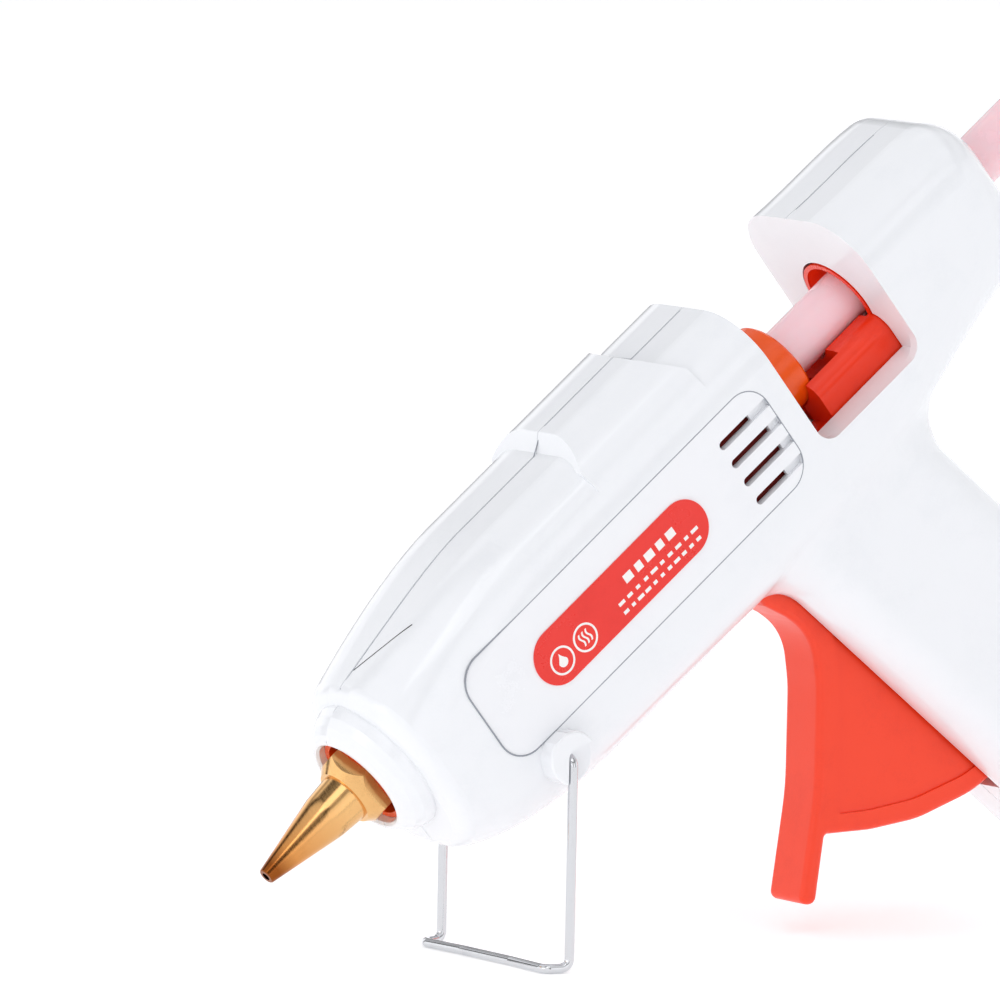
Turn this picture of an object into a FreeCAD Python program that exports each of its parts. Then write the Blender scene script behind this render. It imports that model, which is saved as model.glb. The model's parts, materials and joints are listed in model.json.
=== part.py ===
import FreeCAD
import Part
import math
import os

os.makedirs("parts", exist_ok=True)
V = FreeCAD.Vector

# ---------------------------------------------------------------- driving dimensions, mm
# Barrel frame: x runs back from the nozzle tip along the barrel axis, y across the gun,
# z up from the barrel axis. The left side of the gun is -y.
PITCH = 38.0            # nose-down angle of the barrel when the gun rests on its stand and heel
TIP_H = 21.0            # height of the nozzle tip above the floor at rest
STICK_R = 5.6           # standard 11.2 mm glue stick
BODY_W = 20.0           # half width of the housing
BODY_TOP = 24.0
BODY_BOT = -30.0
HOOD_TOP = 21.6
CORNER_R = 12.0         # long edges of the barrel
WALL = 2.3
NOSE_X = 33.5           # front face of the housing behind the collar
BLEND_X = 76.0          # where the tapered front meets the parallel barrel
WIN_X0 = 145.0          # open-top stick window
WIN_X1 = 175.0
SILL_Z = -11.3          # ledge along the bottom of the window
LEDGE_Y = 12.6          # inner edge of that ledge
TAIL_X = 212.0
GRIP_W = 17.0           # half width of the grip
GRIP_R = 9.0            # long edges of the grip
RAKE = 12.4             # grip rake, degrees
PIVOT = (149.8, -36.0)  # trigger pin
PIN_R = 2.0
DRIVE_Z = -15.5         # height of the drive pin
STROKE_DEG = 20.0
STAND_C = (59.0, -18.0)  # stand pivot
WIRE_R = 1.0


# ---------------------------------------------------------------- helpers
def box(x0, x1, y0, y1, z0, z1):
    return Part.makeBox(x1 - x0, y1 - y0, z1 - z0, V(x0, y0, z0))


def cyl_x(r, x0, x1, y=0.0, z=0.0):
    return Part.makeCylinder(r, x1 - x0, V(x0, y, z), V(1, 0, 0))


def cyl_y(r, y0, y1, x, z):
    return Part.makeCylinder(r, y1 - y0, V(x, y0, z), V(0, 1, 0))


def tube_x(ro, ri, x0, x1):
    return cyl_x(ro, x0, x1).cut(cyl_x(ri, x0 - 1, x1 + 1))


def lathe(pairs):
    """Turn a closed (x, r) outline about the barrel axis."""
    pts = [V(x, 0, r) for x, r in pairs]
    pts.append(pts[0])
    face = Part.Face(Part.makePolygon(pts))
    return face.revolve(V(0, 0, 0), V(1, 0, 0), 360)


def round_wire(pts):
    """Closed outline in the xz plane from (x, z, radius) corners."""
    n = len(pts)
    edges = []
    last = None
    first = None
    for i in range(n):
        px, pz, r = pts[i]
        ax, az = pts[i - 1][0], pts[i - 1][1]
        bx, bz = pts[(i + 1) % n][0], pts[(i + 1) % n][1]
        p = V(px, 0, pz)
        a = (V(ax, 0, az) - p).normalize()
        b = (V(bx, 0, bz) - p).normalize()
        if r <= 0:
            s = p
            e = p
            arc = None
        else:
            half = a.getAngle(b) / 2
            d = r / math.tan(half)
            s = p + a * d
            e = p + b * d
            m = p + (a + b).normalize() * (r / math.sin(half) - r)
            arc = Part.Arc(s, m, e).toShape()
        if last is not None and last.distanceToPoint(s) > 1e-6:
            edges.append(Part.makeLine(last, s))
        if arc is not None:
            edges.append(arc)
        if first is None:
            first = s
        last = e
    if last.distanceToPoint(first) > 1e-6:
        edges.append(Part.makeLine(last, first))
    return Part.Wire(edges)


def slab(pts, y0, y1):
    """Rounded xz outline given thickness across the gun."""
    face = Part.Face(round_wire(pts))
    face.translate(V(0, y0, 0))
    return face.extrude(V(0, y1 - y0, 0))


def rr_section(x, w, zt, zb, rt, rb):
    """Rounded rectangle across the barrel at station x."""
    s = math.sqrt(0.5)

    def p(y, z):
        return V(x, y, z)

    def arc(cy, cz, r, ay, az, by, bz):
        m = V(x, cy + r * s * (ay + by), cz + r * s * (az + bz))
        return Part.Arc(p(cy + r * ay, cz + r * az), m, p(cy + r * by, cz + r * bz)).toShape()

    e = [
        Part.makeLine(p(-w + rt, zt), p(w - rt, zt)),
        arc(w - rt, zt - rt, rt, 0, 1, 1, 0),
        Part.makeLine(p(w, zt - rt), p(w, zb + rb)),
        arc(w - rb, zb + rb, rb, 1, 0, 0, -1),
        Part.makeLine(p(w - rb, zb), p(-w + rb, zb)),
        arc(-w + rb, zb + rb, rb, 0, -1, -1, 0),
        Part.makeLine(p(-w, zb + rb), p(-w, zt - rt)),
        arc(-w + rt, zt - rt, rt, -1, 0, 0, 1),
    ]
    return Part.Wire(e)


def along(edges_of, test, radius):
    """Round every edge of a solid that passes the test."""
    chosen = [e for e in edges_of.Edges if test(e)]
    return edges_of.makeFillet(radius, chosen)


def pipe(points, r, bend):
    """Round wire through the points with bent corners."""
    edges = []
    last = points[0]
    for i in range(1, len(points) - 1):
        p = points[i]
        a = (points[i - 1] - p).normalize()
        b = (points[i + 1] - p).normalize()
        half = a.getAngle(b) / 2
        d = bend / math.tan(half)
        s = p + a * d
        e = p + b * d
        m = p + (a + b).normalize() * (bend / math.sin(half) - bend)
        edges.append(Part.makeLine(last, s))
        edges.append(Part.Arc(s, m, e).toShape())
        last = e
    edges.append(Part.makeLine(last, points[-1]))
    path = Part.Wire(edges)
    way = (points[1] - points[0]).normalize()
    ring = Part.Wire([Part.makeCircle(r, points[0], way)])
    return path.makePipeShell([ring], True, True)


nodes = {}

# ---------------------------------------------------------------- grip directions
rk = math.radians(RAKE)
DOWN = (math.sin(rk), -math.cos(rk))
BACK = (math.cos(rk), math.sin(rk))
p_rad = math.radians(PITCH)


def floor_x(x_dir, z_dir, x0, z0):
    """Distance from a point along a direction until the floor plane is reached."""
    h0 = x0 * math.sin(p_rad) + z0 * math.cos(p_rad) + TIP_H
    hd = x_dir * math.sin(p_rad) + z_dir * math.cos(p_rad)
    return -h0 / hd


# front edge of the grip runs through F0; the foot facet lies on the floor
F0 = (130.6, -58.0)
FOOT_A = floor_x(DOWN[0], DOWN[1], F0[0], F0[1])
FOOT_LEN = 15.0
GRIP_DEPTH = 44.0
GRIP_LEN = FOOT_A + FOOT_LEN * math.sin(rk + p_rad)


# ---------------------------------------------------------------- housing envelope
def grip_prism(t, up, down):
    """Grip as a rounded bar along its raked axis, inset by t, from up to down along it."""
    w = GRIP_W - t
    r = GRIP_R - t
    face = Part.Face(rr_section(0, w, 0, -(GRIP_DEPTH - 2 * t), r, r))
    bar = face.extrude(V(down - up, 0, 0))
    bar.translate(V(up, 0, 0))
    # local x runs down the grip, local -z runs back across it
    m = FreeCAD.Matrix(DOWN[0], 0, -BACK[0], F0[0] + t * BACK[0],
                       0, 1, 0, 0,
                       DOWN[1], 0, -BACK[1], F0[1] + t * BACK[1],
                       0, 0, 0, 1)
    return bar.transformed(m)


def envelope(t):
    """Closed outer form of the housing, inset by t."""
    r = CORNER_R - t
    w = BODY_W - t
    front = Part.makeLoft([
        rr_section(NOSE_X + t * 0.5, 18.2 - t, 17.6 - t, -22.5 + t, 15.4 - t, 15.4 - t),
        rr_section(41, 19.2 - t, 19.0 - t, -26.0 + t, 14.6 - t, 14.6 - t),
        rr_section(51, 19.8 - t, 20.8 - t, -28.4 + t, 13.4 - t, 13.4 - t),
        rr_section(63, 20.0 - t, 22.8 - t, -29.7 + t, r + 0.5, r + 0.5),
        rr_section(BLEND_X, w, BODY_TOP - t, BODY_BOT + t, r, r),
    ], True, False)
    if t < 0.1:
        front = along(front, lambda e: e.BoundBox.XMax < NOSE_X + 0.01, 4.5)
    mid = Part.Face(rr_section(BLEND_X, w, BODY_TOP - t, BODY_BOT + t, r, r))
    mid = mid.extrude(V(145 - BLEND_X, 0, 0))
    rear = Part.makeLoft([
        rr_section(145, w, BODY_TOP - t, BODY_BOT + t, r, r),
        rr_section(161, w, BODY_TOP - 1.0 - t, BODY_BOT + 2.2 + t, r, r),
        rr_section(177, w, HOOD_TOP - t, BODY_BOT + 6.2 + t, r, r),
        rr_section(194, w, HOOD_TOP - 0.3 - t, BODY_BOT + 10.4 + t, r, r),
        rr_section(TAIL_X - t, w, HOOD_TOP - 2.2 - t, BODY_BOT + 13.0 + t, r, r),
    ], True, False)
    end = 8.0 - t
    rear = along(rear, lambda e: e.BoundBox.XMin > TAIL_X - t - 0.01, end)
    grip = grip_prism(t, -42 + t, GRIP_LEN - t)
    foot = box(-50, 400, -40, 40, -60, t)
    foot.rotate(V(0, 0, 0), V(0, 1, 0), PITCH)
    drop = V(-math.sin(p_rad) * TIP_H, 0, -math.cos(p_rad) * TIP_H)
    foot.translate(drop)
    grip = grip.cut(foot)
    return front, mid, rear, grip


front_o, mid_o, rear_o, grip_o = envelope(0.0)


def is_junction(e):
    """Edges where the grip leaves the barrel."""
    m = e.valueAt((e.FirstParameter + e.LastParameter) / 2)
    near = 121 < m.x < 175 and -32 < m.z < -21 and abs(m.y) < GRIP_W + 0.1
    return near and e.BoundBox.ZMin > -33 and e.BoundBox.XMin > 121


foot_edges = []
for e in grip_o.Edges:
    m = e.valueAt((e.FirstParameter + e.LastParameter) / 2)
    s_pos = (m.x - F0[0]) * DOWN[0] + (m.z - F0[1]) * DOWN[1]
    h = m.x * math.sin(p_rad) + m.z * math.cos(p_rad) + TIP_H
    if s_pos > GRIP_LEN - 0.01 or h < 0.01:
        foot_edges.append(e)
grip_o = grip_o.makeFillet(4.5, foot_edges)
barrel_o = front_o.multiFuse([mid_o, rear_o, grip_o]).removeSplitter()
barrel_o = along(barrel_o, is_junction, 12.0)

# raised band over the top, its ends sloped at 45 degrees
band = Part.Face(rr_section(95, 19.4, 27.2, -20, 14.0, 14.0)).extrude(V(40, 0, 0))
band = band.common(slab([(98.5, 22, 0), (103.2, 27.3, 1.2), (126.0, 27.3, 1.2), (130.6, 22, 0),
                         (130.6, 4, 0), (98.5, 4, 0)], -30, 30))
band = band.cut(cyl_x(8, 90, 140))

collar = lathe([(27.0, 10.8), (27.5, 10.3), (36, 10.3), (36, 15.5), (33.0, 15.5),
                (31.0, 14.9), (29.2, 13.9), (27.9, 12.7), (27.15, 11.7), (27.0, 11.3)])
boss_l = cyl_y(5.5, -24.0, -17.0, STAND_C[0], STAND_C[1])
boss_r = cyl_y(5.5, 17.0, 24.0, STAND_C[0], STAND_C[1])
boss_l = along(boss_l, lambda e: e.BoundBox.YMax < -23.9, 0.5)
boss_r = along(boss_r, lambda e: e.BoundBox.YMin > 23.9, 0.5)

# ---------------------------------------------------------------- cavity
front_i, mid_i, rear_i, grip_i = envelope(WALL)
inner = front_i.multiFuse([mid_i, rear_i, grip_i]).removeSplitter()
LEDGE_T = 1.8
end_wall = box(WIN_X0 - WALL, WIN_X0, -25, 25, SILL_Z - LEDGE_T, 30)
hood_wall = box(WIN_X1, WIN_X1 + WALL, -25, 25, SILL_Z - LEDGE_T, 30)
cavity = inner.cut(end_wall.fuse(hood_wall))
outer = barrel_o.multiFuse([band, collar, boss_l, boss_r])
body = outer.cut(cavity)
window = slab([(WIN_X0, SILL_Z, 4), (WIN_X1, SILL_Z, 4), (WIN_X1, 40, 0), (WIN_X0, 40, 0)],
              -30, 30)
body = body.cut(window)
body = body.cut(cyl_x(10.3, 20, 40)).cut(cyl_x(10.1, WIN_X0 - 5, WIN_X0 + 1))
body = body.cut(cyl_x(9.8, WIN_X1 - 1, WIN_X1 + 5)).cut(cyl_x(8.3, TAIL_X - 5, TAIL_X + 1))
# the carriage passes through the hood wall
SADDLE_TOP = -3.0
passage = Part.Face(rr_section(WIN_X1 - 1, 12.5, SADDLE_TOP + 0.4, -16, 4.4, 0.5))
body = body.cut(passage.extrude(V(5, 0, 0)))

# side pockets for the panels, with the vent slots through the wall
PANEL = (49.5, 139.5, -12.6, 11.6)
PANEL_T = 1.2
PANEL_R = 6.0
SLOT_Z = [5.7 - 4.87 * i for i in range(4)]


def panel_outline(grow):
    x0, x1, z0, z1 = PANEL
    r = PANEL_R + grow
    return [(x0 - grow, z0 - grow, r), (x1 + grow, z0 - grow, r),
            (x1 + grow, z1 + grow, r), (x0 - grow, z1 + grow, r)]


# each vent is a groove that runs off the rear edge of the panel, open inwards over its front part
SLOT_X0 = 125.2
GROOVE_END = 145.0
VENT_END = [134.8, 137.2, 137.2, 134.8]
grooves = []
vents = []
for sz, x_end in zip(SLOT_Z, VENT_END):
    grooves.append(slab([(SLOT_X0, sz - 1, 0.99), (GROOVE_END, sz - 1, 0), (GROOVE_END, sz + 1, 0),
                         (SLOT_X0, sz + 1, 0.99)], -30, 30))
    vents.append(slab([(SLOT_X0, sz - 1, 0.99), (x_end, sz - 1, 0), (x_end, sz + 1, 0),
                       (SLOT_X0, sz + 1, 0.99)], -30, 30))
grooves = grooves[0].multiFuse(grooves[1:])
vents = vents[0].multiFuse(vents[1:])
pad = slab(panel_outline(2.0), BODY_W - 3.4, BODY_W - 2.0)
pads = pad.fuse(pad.mirror(V(0, 0, 0), V(0, 1, 0))).common(inner)
pocket = slab(panel_outline(0.15), BODY_W - PANEL_T, BODY_W + 5)
pockets = pocket.fuse(pocket.mirror(V(0, 0, 0), V(0, 1, 0)))
body = body.fuse(pads).cut(pockets).cut(vents)
# the wall is thinner behind the vents
relief = slab([(SLOT_X0 - 2.0, -12.0, 2), (137.5, -12.0, 2), (137.5, 8.8, 2), (SLOT_X0 - 2.0, 8.8, 2)],
              14.0, BODY_W - 2.0)
body = body.cut(relief).cut(relief.mirror(V(0, 0, 0), V(0, 1, 0)))

# trigger slot through the underside and the front of the grip
SLOT_W = 6.7
slot = slab([(115.8, -22, 0), (136, -24, 0), (152, -98, 2), (148, -102.5, 2), (134, -102.5, 2),
             (112, -60, 3), (115.8, -40, 0)], -SLOT_W, SLOT_W)
body = body.cut(slot)


# ---------------------------------------------------------------- grip coordinates
def gp(s, b, y):
    """Point in the grip: s down its front edge, b back across it."""
    return V(F0[0] + s * DOWN[0] + b * BACK[0], y, F0[1] + s * DOWN[1] + b * BACK[1])


GRIP_M = FreeCAD.Matrix(DOWN[0], 0, -BACK[0], F0[0], 0, 1, 0, 0,
                        DOWN[1], 0, -BACK[1], F0[1], 0, 0, 0, 1)


def grip_box(s0, s1, y0, y1, b0, b1):
    return box(s0, s1, y0, y1, -b1, -b0).transformed(GRIP_M)


def grip_cyl(r, s0, s1, b, y=0.0):
    return Part.makeCylinder(r, s1 - s0, gp(s0, b, y), V(DOWN[0], 0, DOWN[1]))


# ---------------------------------------------------------------- inside of the shells
SCREWS = [(47.0, -20.6), (106.0, -22.9), (62.0, 16.6), (132.0, 17.2), (201.5, -12.7)]
SCREWS.append((gp(14, 38, 0).x, gp(14, 38, 0).z))
SCREWS.append((gp(78, 36, 0).x, gp(78, 36, 0).z))
posts = []
drills = []
for sx, sz in SCREWS:
    posts.append(cyl_y(3.2, -25, 0, sx, sz))
    posts.append(cyl_y(4.3, 0, 25, sx, sz))
    drills.append(cyl_y(1.42, -12, 0.1, sx, sz))
    drills.append(cyl_y(1.6, 0, 30, sx, sz))
    drills.append(cyl_y(3.2, 9.0, 30, sx, sz))
posts.append(cyl_y(4.5, -25, -7.9, PIVOT[0], PIVOT[1]))
posts.append(cyl_y(4.5, 7.9, 25, PIVOT[0], PIVOT[1]))
drills.append(cyl_y(PIN_R + 0.01, -15.2, 15.2, PIVOT[0], PIVOT[1]))
# runners under the carriage
posts.append(box(138, 197, 12.5, 25, -23, -21.1))
posts.append(box(138, 197, -25, -12.5, -23, -21.1))
# ledges along the bottom of the window
posts.append(box(WIN_X0 - WALL, WIN_X1 + WALL, LEDGE_Y, 25, SILL_Z - LEDGE_T, SILL_Z))
posts.append(box(WIN_X0 - WALL, WIN_X1 + WALL, -25, -LEDGE_Y, SILL_Z - LEDGE_T, SILL_Z))
# cradle ribs round the melt chamber and its sleeve
for rx in (48.5, 98.0):
    rib = box(rx, rx + 2, -25, 25, -40, 30).cut(cyl_x(9.3, rx - 1, rx + 3))
    posts.append(rib.cut(box(rx - 1, rx + 3, -9.5, 9.5, -20, 0)))
rib = box(119, 121, -25, 25, -14, 30).cut(cyl_x(10.6, 118, 122))
posts.append(rib)
inside = posts[0].multiFuse(posts[1:]).common(inner)
stand_holes = cyl_y(WIRE_R + 0.05, -30, -17, STAND_C[0], STAND_C[1])
stand_holes = stand_holes.fuse(cyl_y(WIRE_R + 0.05, 17, 30, STAND_C[0], STAND_C[1]))
body = body.fuse(inside)
for d in drills + [stand_holes]:
    body = body.cut(d)

# recess in each stand boss, swept by the wire leg between its two stops
FOLD = 114.0
LEG_RUN = -26.7
# the cross bar lies on the floor plane
bar_low = (WIRE_R - TIP_H - (STAND_C[0] + LEG_RUN) * math.sin(p_rad)) / math.cos(p_rad)
LEG = (LEG_RUN, bar_low - STAND_C[1])
leg_len = math.hypot(LEG[0], LEG[1])
d0 = (LEG[0] / leg_len, LEG[1] / leg_len)


def turned(d, deg):
    """Direction turned about -y."""
    a = math.radians(deg)
    return (d[0] * math.cos(a) - d[1] * math.sin(a), d[0] * math.sin(a) + d[1] * math.cos(a))


d1 = turned(d0, FOLD)
n0 = turned(d0, -90)
n1 = turned(d1, 90)
cx, cz = STAND_C
k = WIRE_R + 0.35
sector = [
    (cx + n0[0] * k, cz + n0[1] * k, 0),
    (cx + n0[0] * k + d0[0] * 9, cz + n0[1] * k + d0[1] * 9, 0),
    (cx + turned(d0, 40)[0] * 12, cz + turned(d0, 40)[1] * 12, 0),
    (cx + turned(d0, 80)[0] * 12, cz + turned(d0, 80)[1] * 12, 0),
    (cx + n1[0] * k + d1[0] * 9, cz + n1[1] * k + d1[1] * 9, 0),
    (cx + n1[0] * k, cz + n1[1] * k, 0),
]
LEG_Y = 23.4
rec = slab(sector, LEG_Y - 2.1, 26).fuse(cyl_y(k, LEG_Y - 2.1, 26, cx, cz))
body = body.cut(rec).cut(rec.mirror(V(0, 0, 0), V(0, 1, 0)))

# switch cut-out, lamp hole and cord inlet in the grip
SW_S, SW_B = 58.0, 21.0
body = body.cut(grip_box(SW_S - 6.9, SW_S + 6.9, -25, -10, SW_B - 4.7, SW_B + 4.7))
LAMP_S = 37.0
lamp_at = gp(LAMP_S, SW_B, 0)
body = body.cut(cyl_y(2.5, -25, -12, lamp_at.x, lamp_at.z))
CORD_B = 30.0
body = body.cut(grip_cyl(5.2, GRIP_LEN - 8, GRIP_LEN + 5, CORD_B))
# fine joint line round the outside where the two shells meet
SEAM_W = 0.12
SEAM_D = 0.35
f_s, m_s, r_s, g_s = envelope(SEAM_D)
low_band = band.copy()
low_band.translate(V(0, 0, -SEAM_D))
core = f_s.multiFuse([m_s, r_s, g_s, low_band, cyl_x(15.5 - SEAM_D, 27 + SEAM_D, 40)])
line = box(20, 300, -SEAM_W, SEAM_W, -200, 60).cut(core)
body = body.cut(line)
body = body.removeSplitter()
print("body", body.isValid(), len(body.Solids), round(body.Volume))
left = body.common(box(-10, 300, -60, 0, -200, 100))
right = body.common(box(-10, 300, 0, 60, -200, 100))
nodes["left_shell"] = left
nodes["right_shell"] = right

# ---------------------------------------------------------------- side panels and label
plate = slab(panel_outline(0), BODY_W - PANEL_T, BODY_W).common(barrel_o).cut(grooves)
nodes["right_panel"] = plate
nodes["left_panel"] = plate.mirror(V(0, 0, 0), V(0, 1, 0))
LAB = (64.5, 114.5, -7.2, 4.8)
lab = slab([(LAB[0], LAB[2], 5.99), (LAB[1], LAB[2], 5.99), (LAB[1], LAB[3], 5.99),
            (LAB[0], LAB[3], 5.99)], -BODY_W - 0.25, -BODY_W)
nodes["label_plate"] = lab

# ---------------------------------------------------------------- hot end
tip = lathe([(0, 0.9), (0, 1.55), (0.2, 1.75), (17.4, 5.0), (23.4, 5.5), (23.4, 6.3),
             (26.4, 8.7), (30.4, 8.7), (31.4, 7.2), (32.0, 5.0), (42.0, 5.0), (42.0, 2.4),
             (21, 2.4), (5.0, 0.9)])
AF = 15.0
hexagon = []
for i in range(6):
    a = math.radians(60 * i + 30)
    hexagon.append(V(0, AF / math.sqrt(3) * math.cos(a), AF / math.sqrt(3) * math.sin(a)))
hexagon.append(hexagon[0])
hexa = Part.Face(Part.makePolygon(hexagon)).extrude(V(60, 0, 0))
nodes["nozzle"] = tip.common(hexa)
nodes["nozzle_collar_ring"] = lathe([(29.0, 9.0), (29.0, 10.2), (38.0, 10.2), (38.0, 12.6),
                                     (41.0, 12.6), (41.0, 8.75), (34.0, 8.75), (33.6, 9.0)])
barrel = lathe([(34.2, 5.03), (34.2, 8.7), (107.0, 8.7), (107.0, 7.2), (118.0, 7.2), (118.0, 5.95),
                (50.0, 5.95), (43.5, 2.6), (42.3, 2.6), (42.3, 5.03)])
block = box(52, 94, -7.5, 7.5, -15.8, -6).cut(cyl_x(6.5, 50, 96))
pocket_h = box(55, 95, -5.6, 5.6, -13.8, -10.0)
nodes["melt_chamber"] = barrel.fuse(block).removeSplitter().cut(pocket_h)
film = box(56, 93, -5.5, 5.5, -13.7, -10.1).cut(box(55, 94, -5.2, 5.2, -13.4, -10.4))
nodes["heater_film"] = film
nodes["heater_tablet"] = box(57, 90, -4.8, 4.8, -13.0, -10.8)
nodes["upper_electrode"] = box(56.5, 96, -4.0, 4.0, -10.8, -10.4)
nodes["lower_electrode"] = box(56.5, 96, -4.0, 4.0, -13.4, -13.0)
nodes["inlet_sleeve"] = lathe([(108, 7.25), (108, 8.8), (119, 8.8), (122, 8.2), (127, 8.2),
                               (127, 5.95), (118.1, 5.95), (118.1, 7.25)])
clamp = tube_x(9.6, 8.85, 110.5, 115.5).fuse(box(110.5, 115.5, -2.4, -1.2, 9.0, 13.0))
clamp = clamp.fuse(box(110.5, 115.5, 1.2, 2.4, 9.0, 13.0))
nodes["sleeve_clamp"] = clamp.cut(box(110, 116, -1.2, 1.2, 8, 14)).removeSplitter()

# ---------------------------------------------------------------- stick guide and tail ring
nodes["stick_guide"] = lathe([(128.5, 6.2), (128.5, 8.4), (136, 10.0), (138.6, 10.0), (138.6, 12.0),
                              (142.5, 12.0), (142.5, 10.0), (154.6, 10.0), (155.2, 9.4),
                              (155.2, 8.6), (149, 6.2)])
nodes["tail_ring"] = lathe([(206.3, 6.3), (206.3, 10.0), (208.2, 10.0), (208.2, 8.2), (212.8, 8.2),
                            (213.4, 7.6), (213.4, 7.2), (212.0, 6.3)])

# ---------------------------------------------------------------- carriage
pin_x = PIVOT[0] + (DRIVE_Z - PIVOT[1]) * math.tan(math.radians(STROKE_DEG / 2))
BELLY_TOP = -13.5
belly = slab([(146.5, -20.8, 1.5), (196, -20.8, 2.0), (196, BELLY_TOP, 0), (146.5, BELLY_TOP, 1.0)],
             -16.7, 16.7)
mid_c, rear_c = envelope(WALL + 0.5)[1:3]
belly = belly.common(mid_c.fuse(rear_c).removeSplitter())
SADDLE_X0 = 153.4
GUIDE_CLEAR_X = 163.5
saddle = Part.Face(rr_section(SADDLE_X0, 12.1, SADDLE_TOP, -16, 4.0, 0.5))
saddle = saddle.extrude(V(187 - SADDLE_X0, 0, 0)).cut(cyl_x(10.3, 150, GUIDE_CLEAR_X))
ring = cyl_x(9.3, 174.8, 196)
webp = box(187, 196, -9.1, 9.1, -14, 0)
carriage = belly.multiFuse([saddle, ring, webp]).removeSplitter()
carriage = carriage.cut(cyl_x(6.2, 150, 200))
carriage = carriage.cut(lathe([(174.2, 0), (174.2, 8.3), (175.2, 8.3), (178.7, 6.2), (178.7, 0)]))
ARM_Y = 3.0
carriage = carriage.cut(box(140, 161.5, -ARM_Y - 0.5, ARM_Y + 0.5, -25, -5))
carriage = carriage.cut(box(173.5, 194.0, -3.5, 3.5, -25, -5))
carriage = carriage.cut(cyl_y(1.51, -9, 9, pin_x, DRIVE_Z))
JAW = (189.0, -14.5)
carriage = carriage.cut(cyl_y(1.21, -7, 7, JAW[0], JAW[1]))
nodes["carriage"] = carriage
nodes["drive_pin"] = cyl_y(1.5, -9, 9, pin_x, DRIVE_Z)
jaw = slab([(192.4, -17.0, 2), (192.4, -11.5, 2), (185.5, -9.8, 1), (179.2, -6.2, 0.25),
            (177.2, -7.0, 0.5), (176.6, -10.2, 1), (184.5, -17.0, 2)], -3.0, 3.0)
nodes["grip_jaw"] = jaw.cut(cyl_y(1.26, -7, 7, JAW[0], JAW[1]))
nodes["jaw_pin"] = cyl_y(1.2, -7, 7, JAW[0], JAW[1])

# ---------------------------------------------------------------- trigger
px, pz = PIVOT
TRIG_W = 6.2
trig = [
    (px - 29.5, pz + 1.5, 0), (px - 26.8, pz - 4.0, 6), (px - 24.6, pz - 11.0, 12),
    (px - 30.2, pz - 20.5, 30), (px - 43.8, pz - 37.0, 60), (px - 60.6, pz - 52.4, 1.7),
    (px - 57.9, pz - 55.2, 1.7), (px - 47.2, pz - 45.3, 1.0), (px - 38.2, pz - 52.2, 25),
    (px - 28.0, pz - 58.4, 25), (px - 15.0, pz - 63.0, 25), (px - 3.5, pz - 64.4, 3),
    (px + 5.0, pz - 24, 20), (px + 5.6, pz + 5.6, 5.5), (px - 5.0, pz + 7.5, 8),
    (px - 16.0, pz + 13.0, 6), (px - 26.0, pz + 15.4, 1.0), (px - 29.8, pz + 8.0, 12),
]
plate_t = slab(trig, -TRIG_W, TRIG_W)
plate_t = along(plate_t, lambda e: e.BoundBox.YLength < 0.01 and e.BoundBox.XMax < px - 14, 1.4)
# channel inside the trigger, open towards the back of the grip
channel = slab([
    (px - 24.0, pz - 2.0, 4), (px - 22.2, pz - 12.0, 10), (px - 27.5, pz - 22.5, 26),
    (px - 42.5, pz - 41.0, 2), (px - 37.0, pz - 46.5, 8), (px - 27.0, pz - 53.0, 20),
    (px - 14.0, pz - 58.0, 10), (px + 12.0, pz - 58.0, 0), (px + 12.0, pz - 12.0, 0),
    (px - 9.0, pz - 9.0, 4), (px - 12.0, pz + 3.0, 4), (px - 23.0, pz + 9.5, 3),
], -4.9, 4.9)
# the side walls stand back from the front edge and the lower lip
step = slab([
    (px - 20.0, pz + 12.0, 0), (px - 19.5, pz - 11.0, 12), (px - 25.0, pz - 22.5, 30),
    (px - 42.6, pz - 43.8, 1.0), (px - 36.0, pz - 48.6, 20), (px - 26.5, pz - 54.2, 20),
    (px - 14.0, pz - 58.8, 20), (px - 1.0, pz - 60.2, 0), (px + 3.0, pz - 30.0, 0),
    (px - 7.0, pz - 10.0, 0), (px - 7.0, pz + 12.0, 0),
], TRIG_W - 0.5, TRIG_W + 1)
steps = step.fuse(step.mirror(V(0, 0, 0), V(0, 1, 0)))
hub = cyl_y(5.4, -7.5, 7.5, px, pz)
lean = math.radians(STROKE_DEG / 2)
up = (math.sin(lean), math.cos(lean))
side = (math.cos(lean), -math.sin(lean))
reach = (DRIVE_Z - pz) / math.cos(lean)


def arm_pt(a, b, r):
    return (px + up[0] * a + side[0] * b, pz + up[1] * a + side[1] * b, r)


arm = slab([arm_pt(0, -4.6, 0), arm_pt(0, 4.6, 0), arm_pt(reach - 4, 3.8, 4),
            arm_pt(reach + 2.4, 3.8, 1), arm_pt(reach + 2.4, -3.8, 1), arm_pt(reach - 4, -3.8, 4)],
           -ARM_Y, ARM_Y)
arm_slot = slab([arm_pt(reach - 2.6, -1.8, 1.7), arm_pt(reach - 2.6, 1.8, 1.7),
                 arm_pt(reach + 8, 1.8, 0), arm_pt(reach + 8, -1.8, 0)], -10, 10)
trigger = plate_t.cut(channel).cut(steps).multiFuse([hub, arm]).cut(arm_slot)
trigger = trigger.cut(cyl_y(PIN_R + 0.06, -10, 10, px, pz)).removeSplitter()
nodes["trigger"] = trigger
nodes["trigger_pin"] = cyl_y(PIN_R, -15, 15, px, pz)

# return spring: coil round the right-hand pivot post, one leg on the trigger
helix = Part.makeHelix(1.2, 3.6, 5.35)
start = V(5.35, 0, 0)
wire_s = Part.Wire([Part.makeCircle(0.5, start, V(0, 1, 0))])
coil = Part.Wire(helix.Edges).makePipeShell([wire_s], True, True)
coil.rotate(V(0, 0, 0), V(1, 0, 0), -90)
coil.rotate(V(0, 0, 0), V(0, 1, 0), 30)
coil.translate(V(px, 8.6, pz))
nodes["return_spring"] = coil

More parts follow.
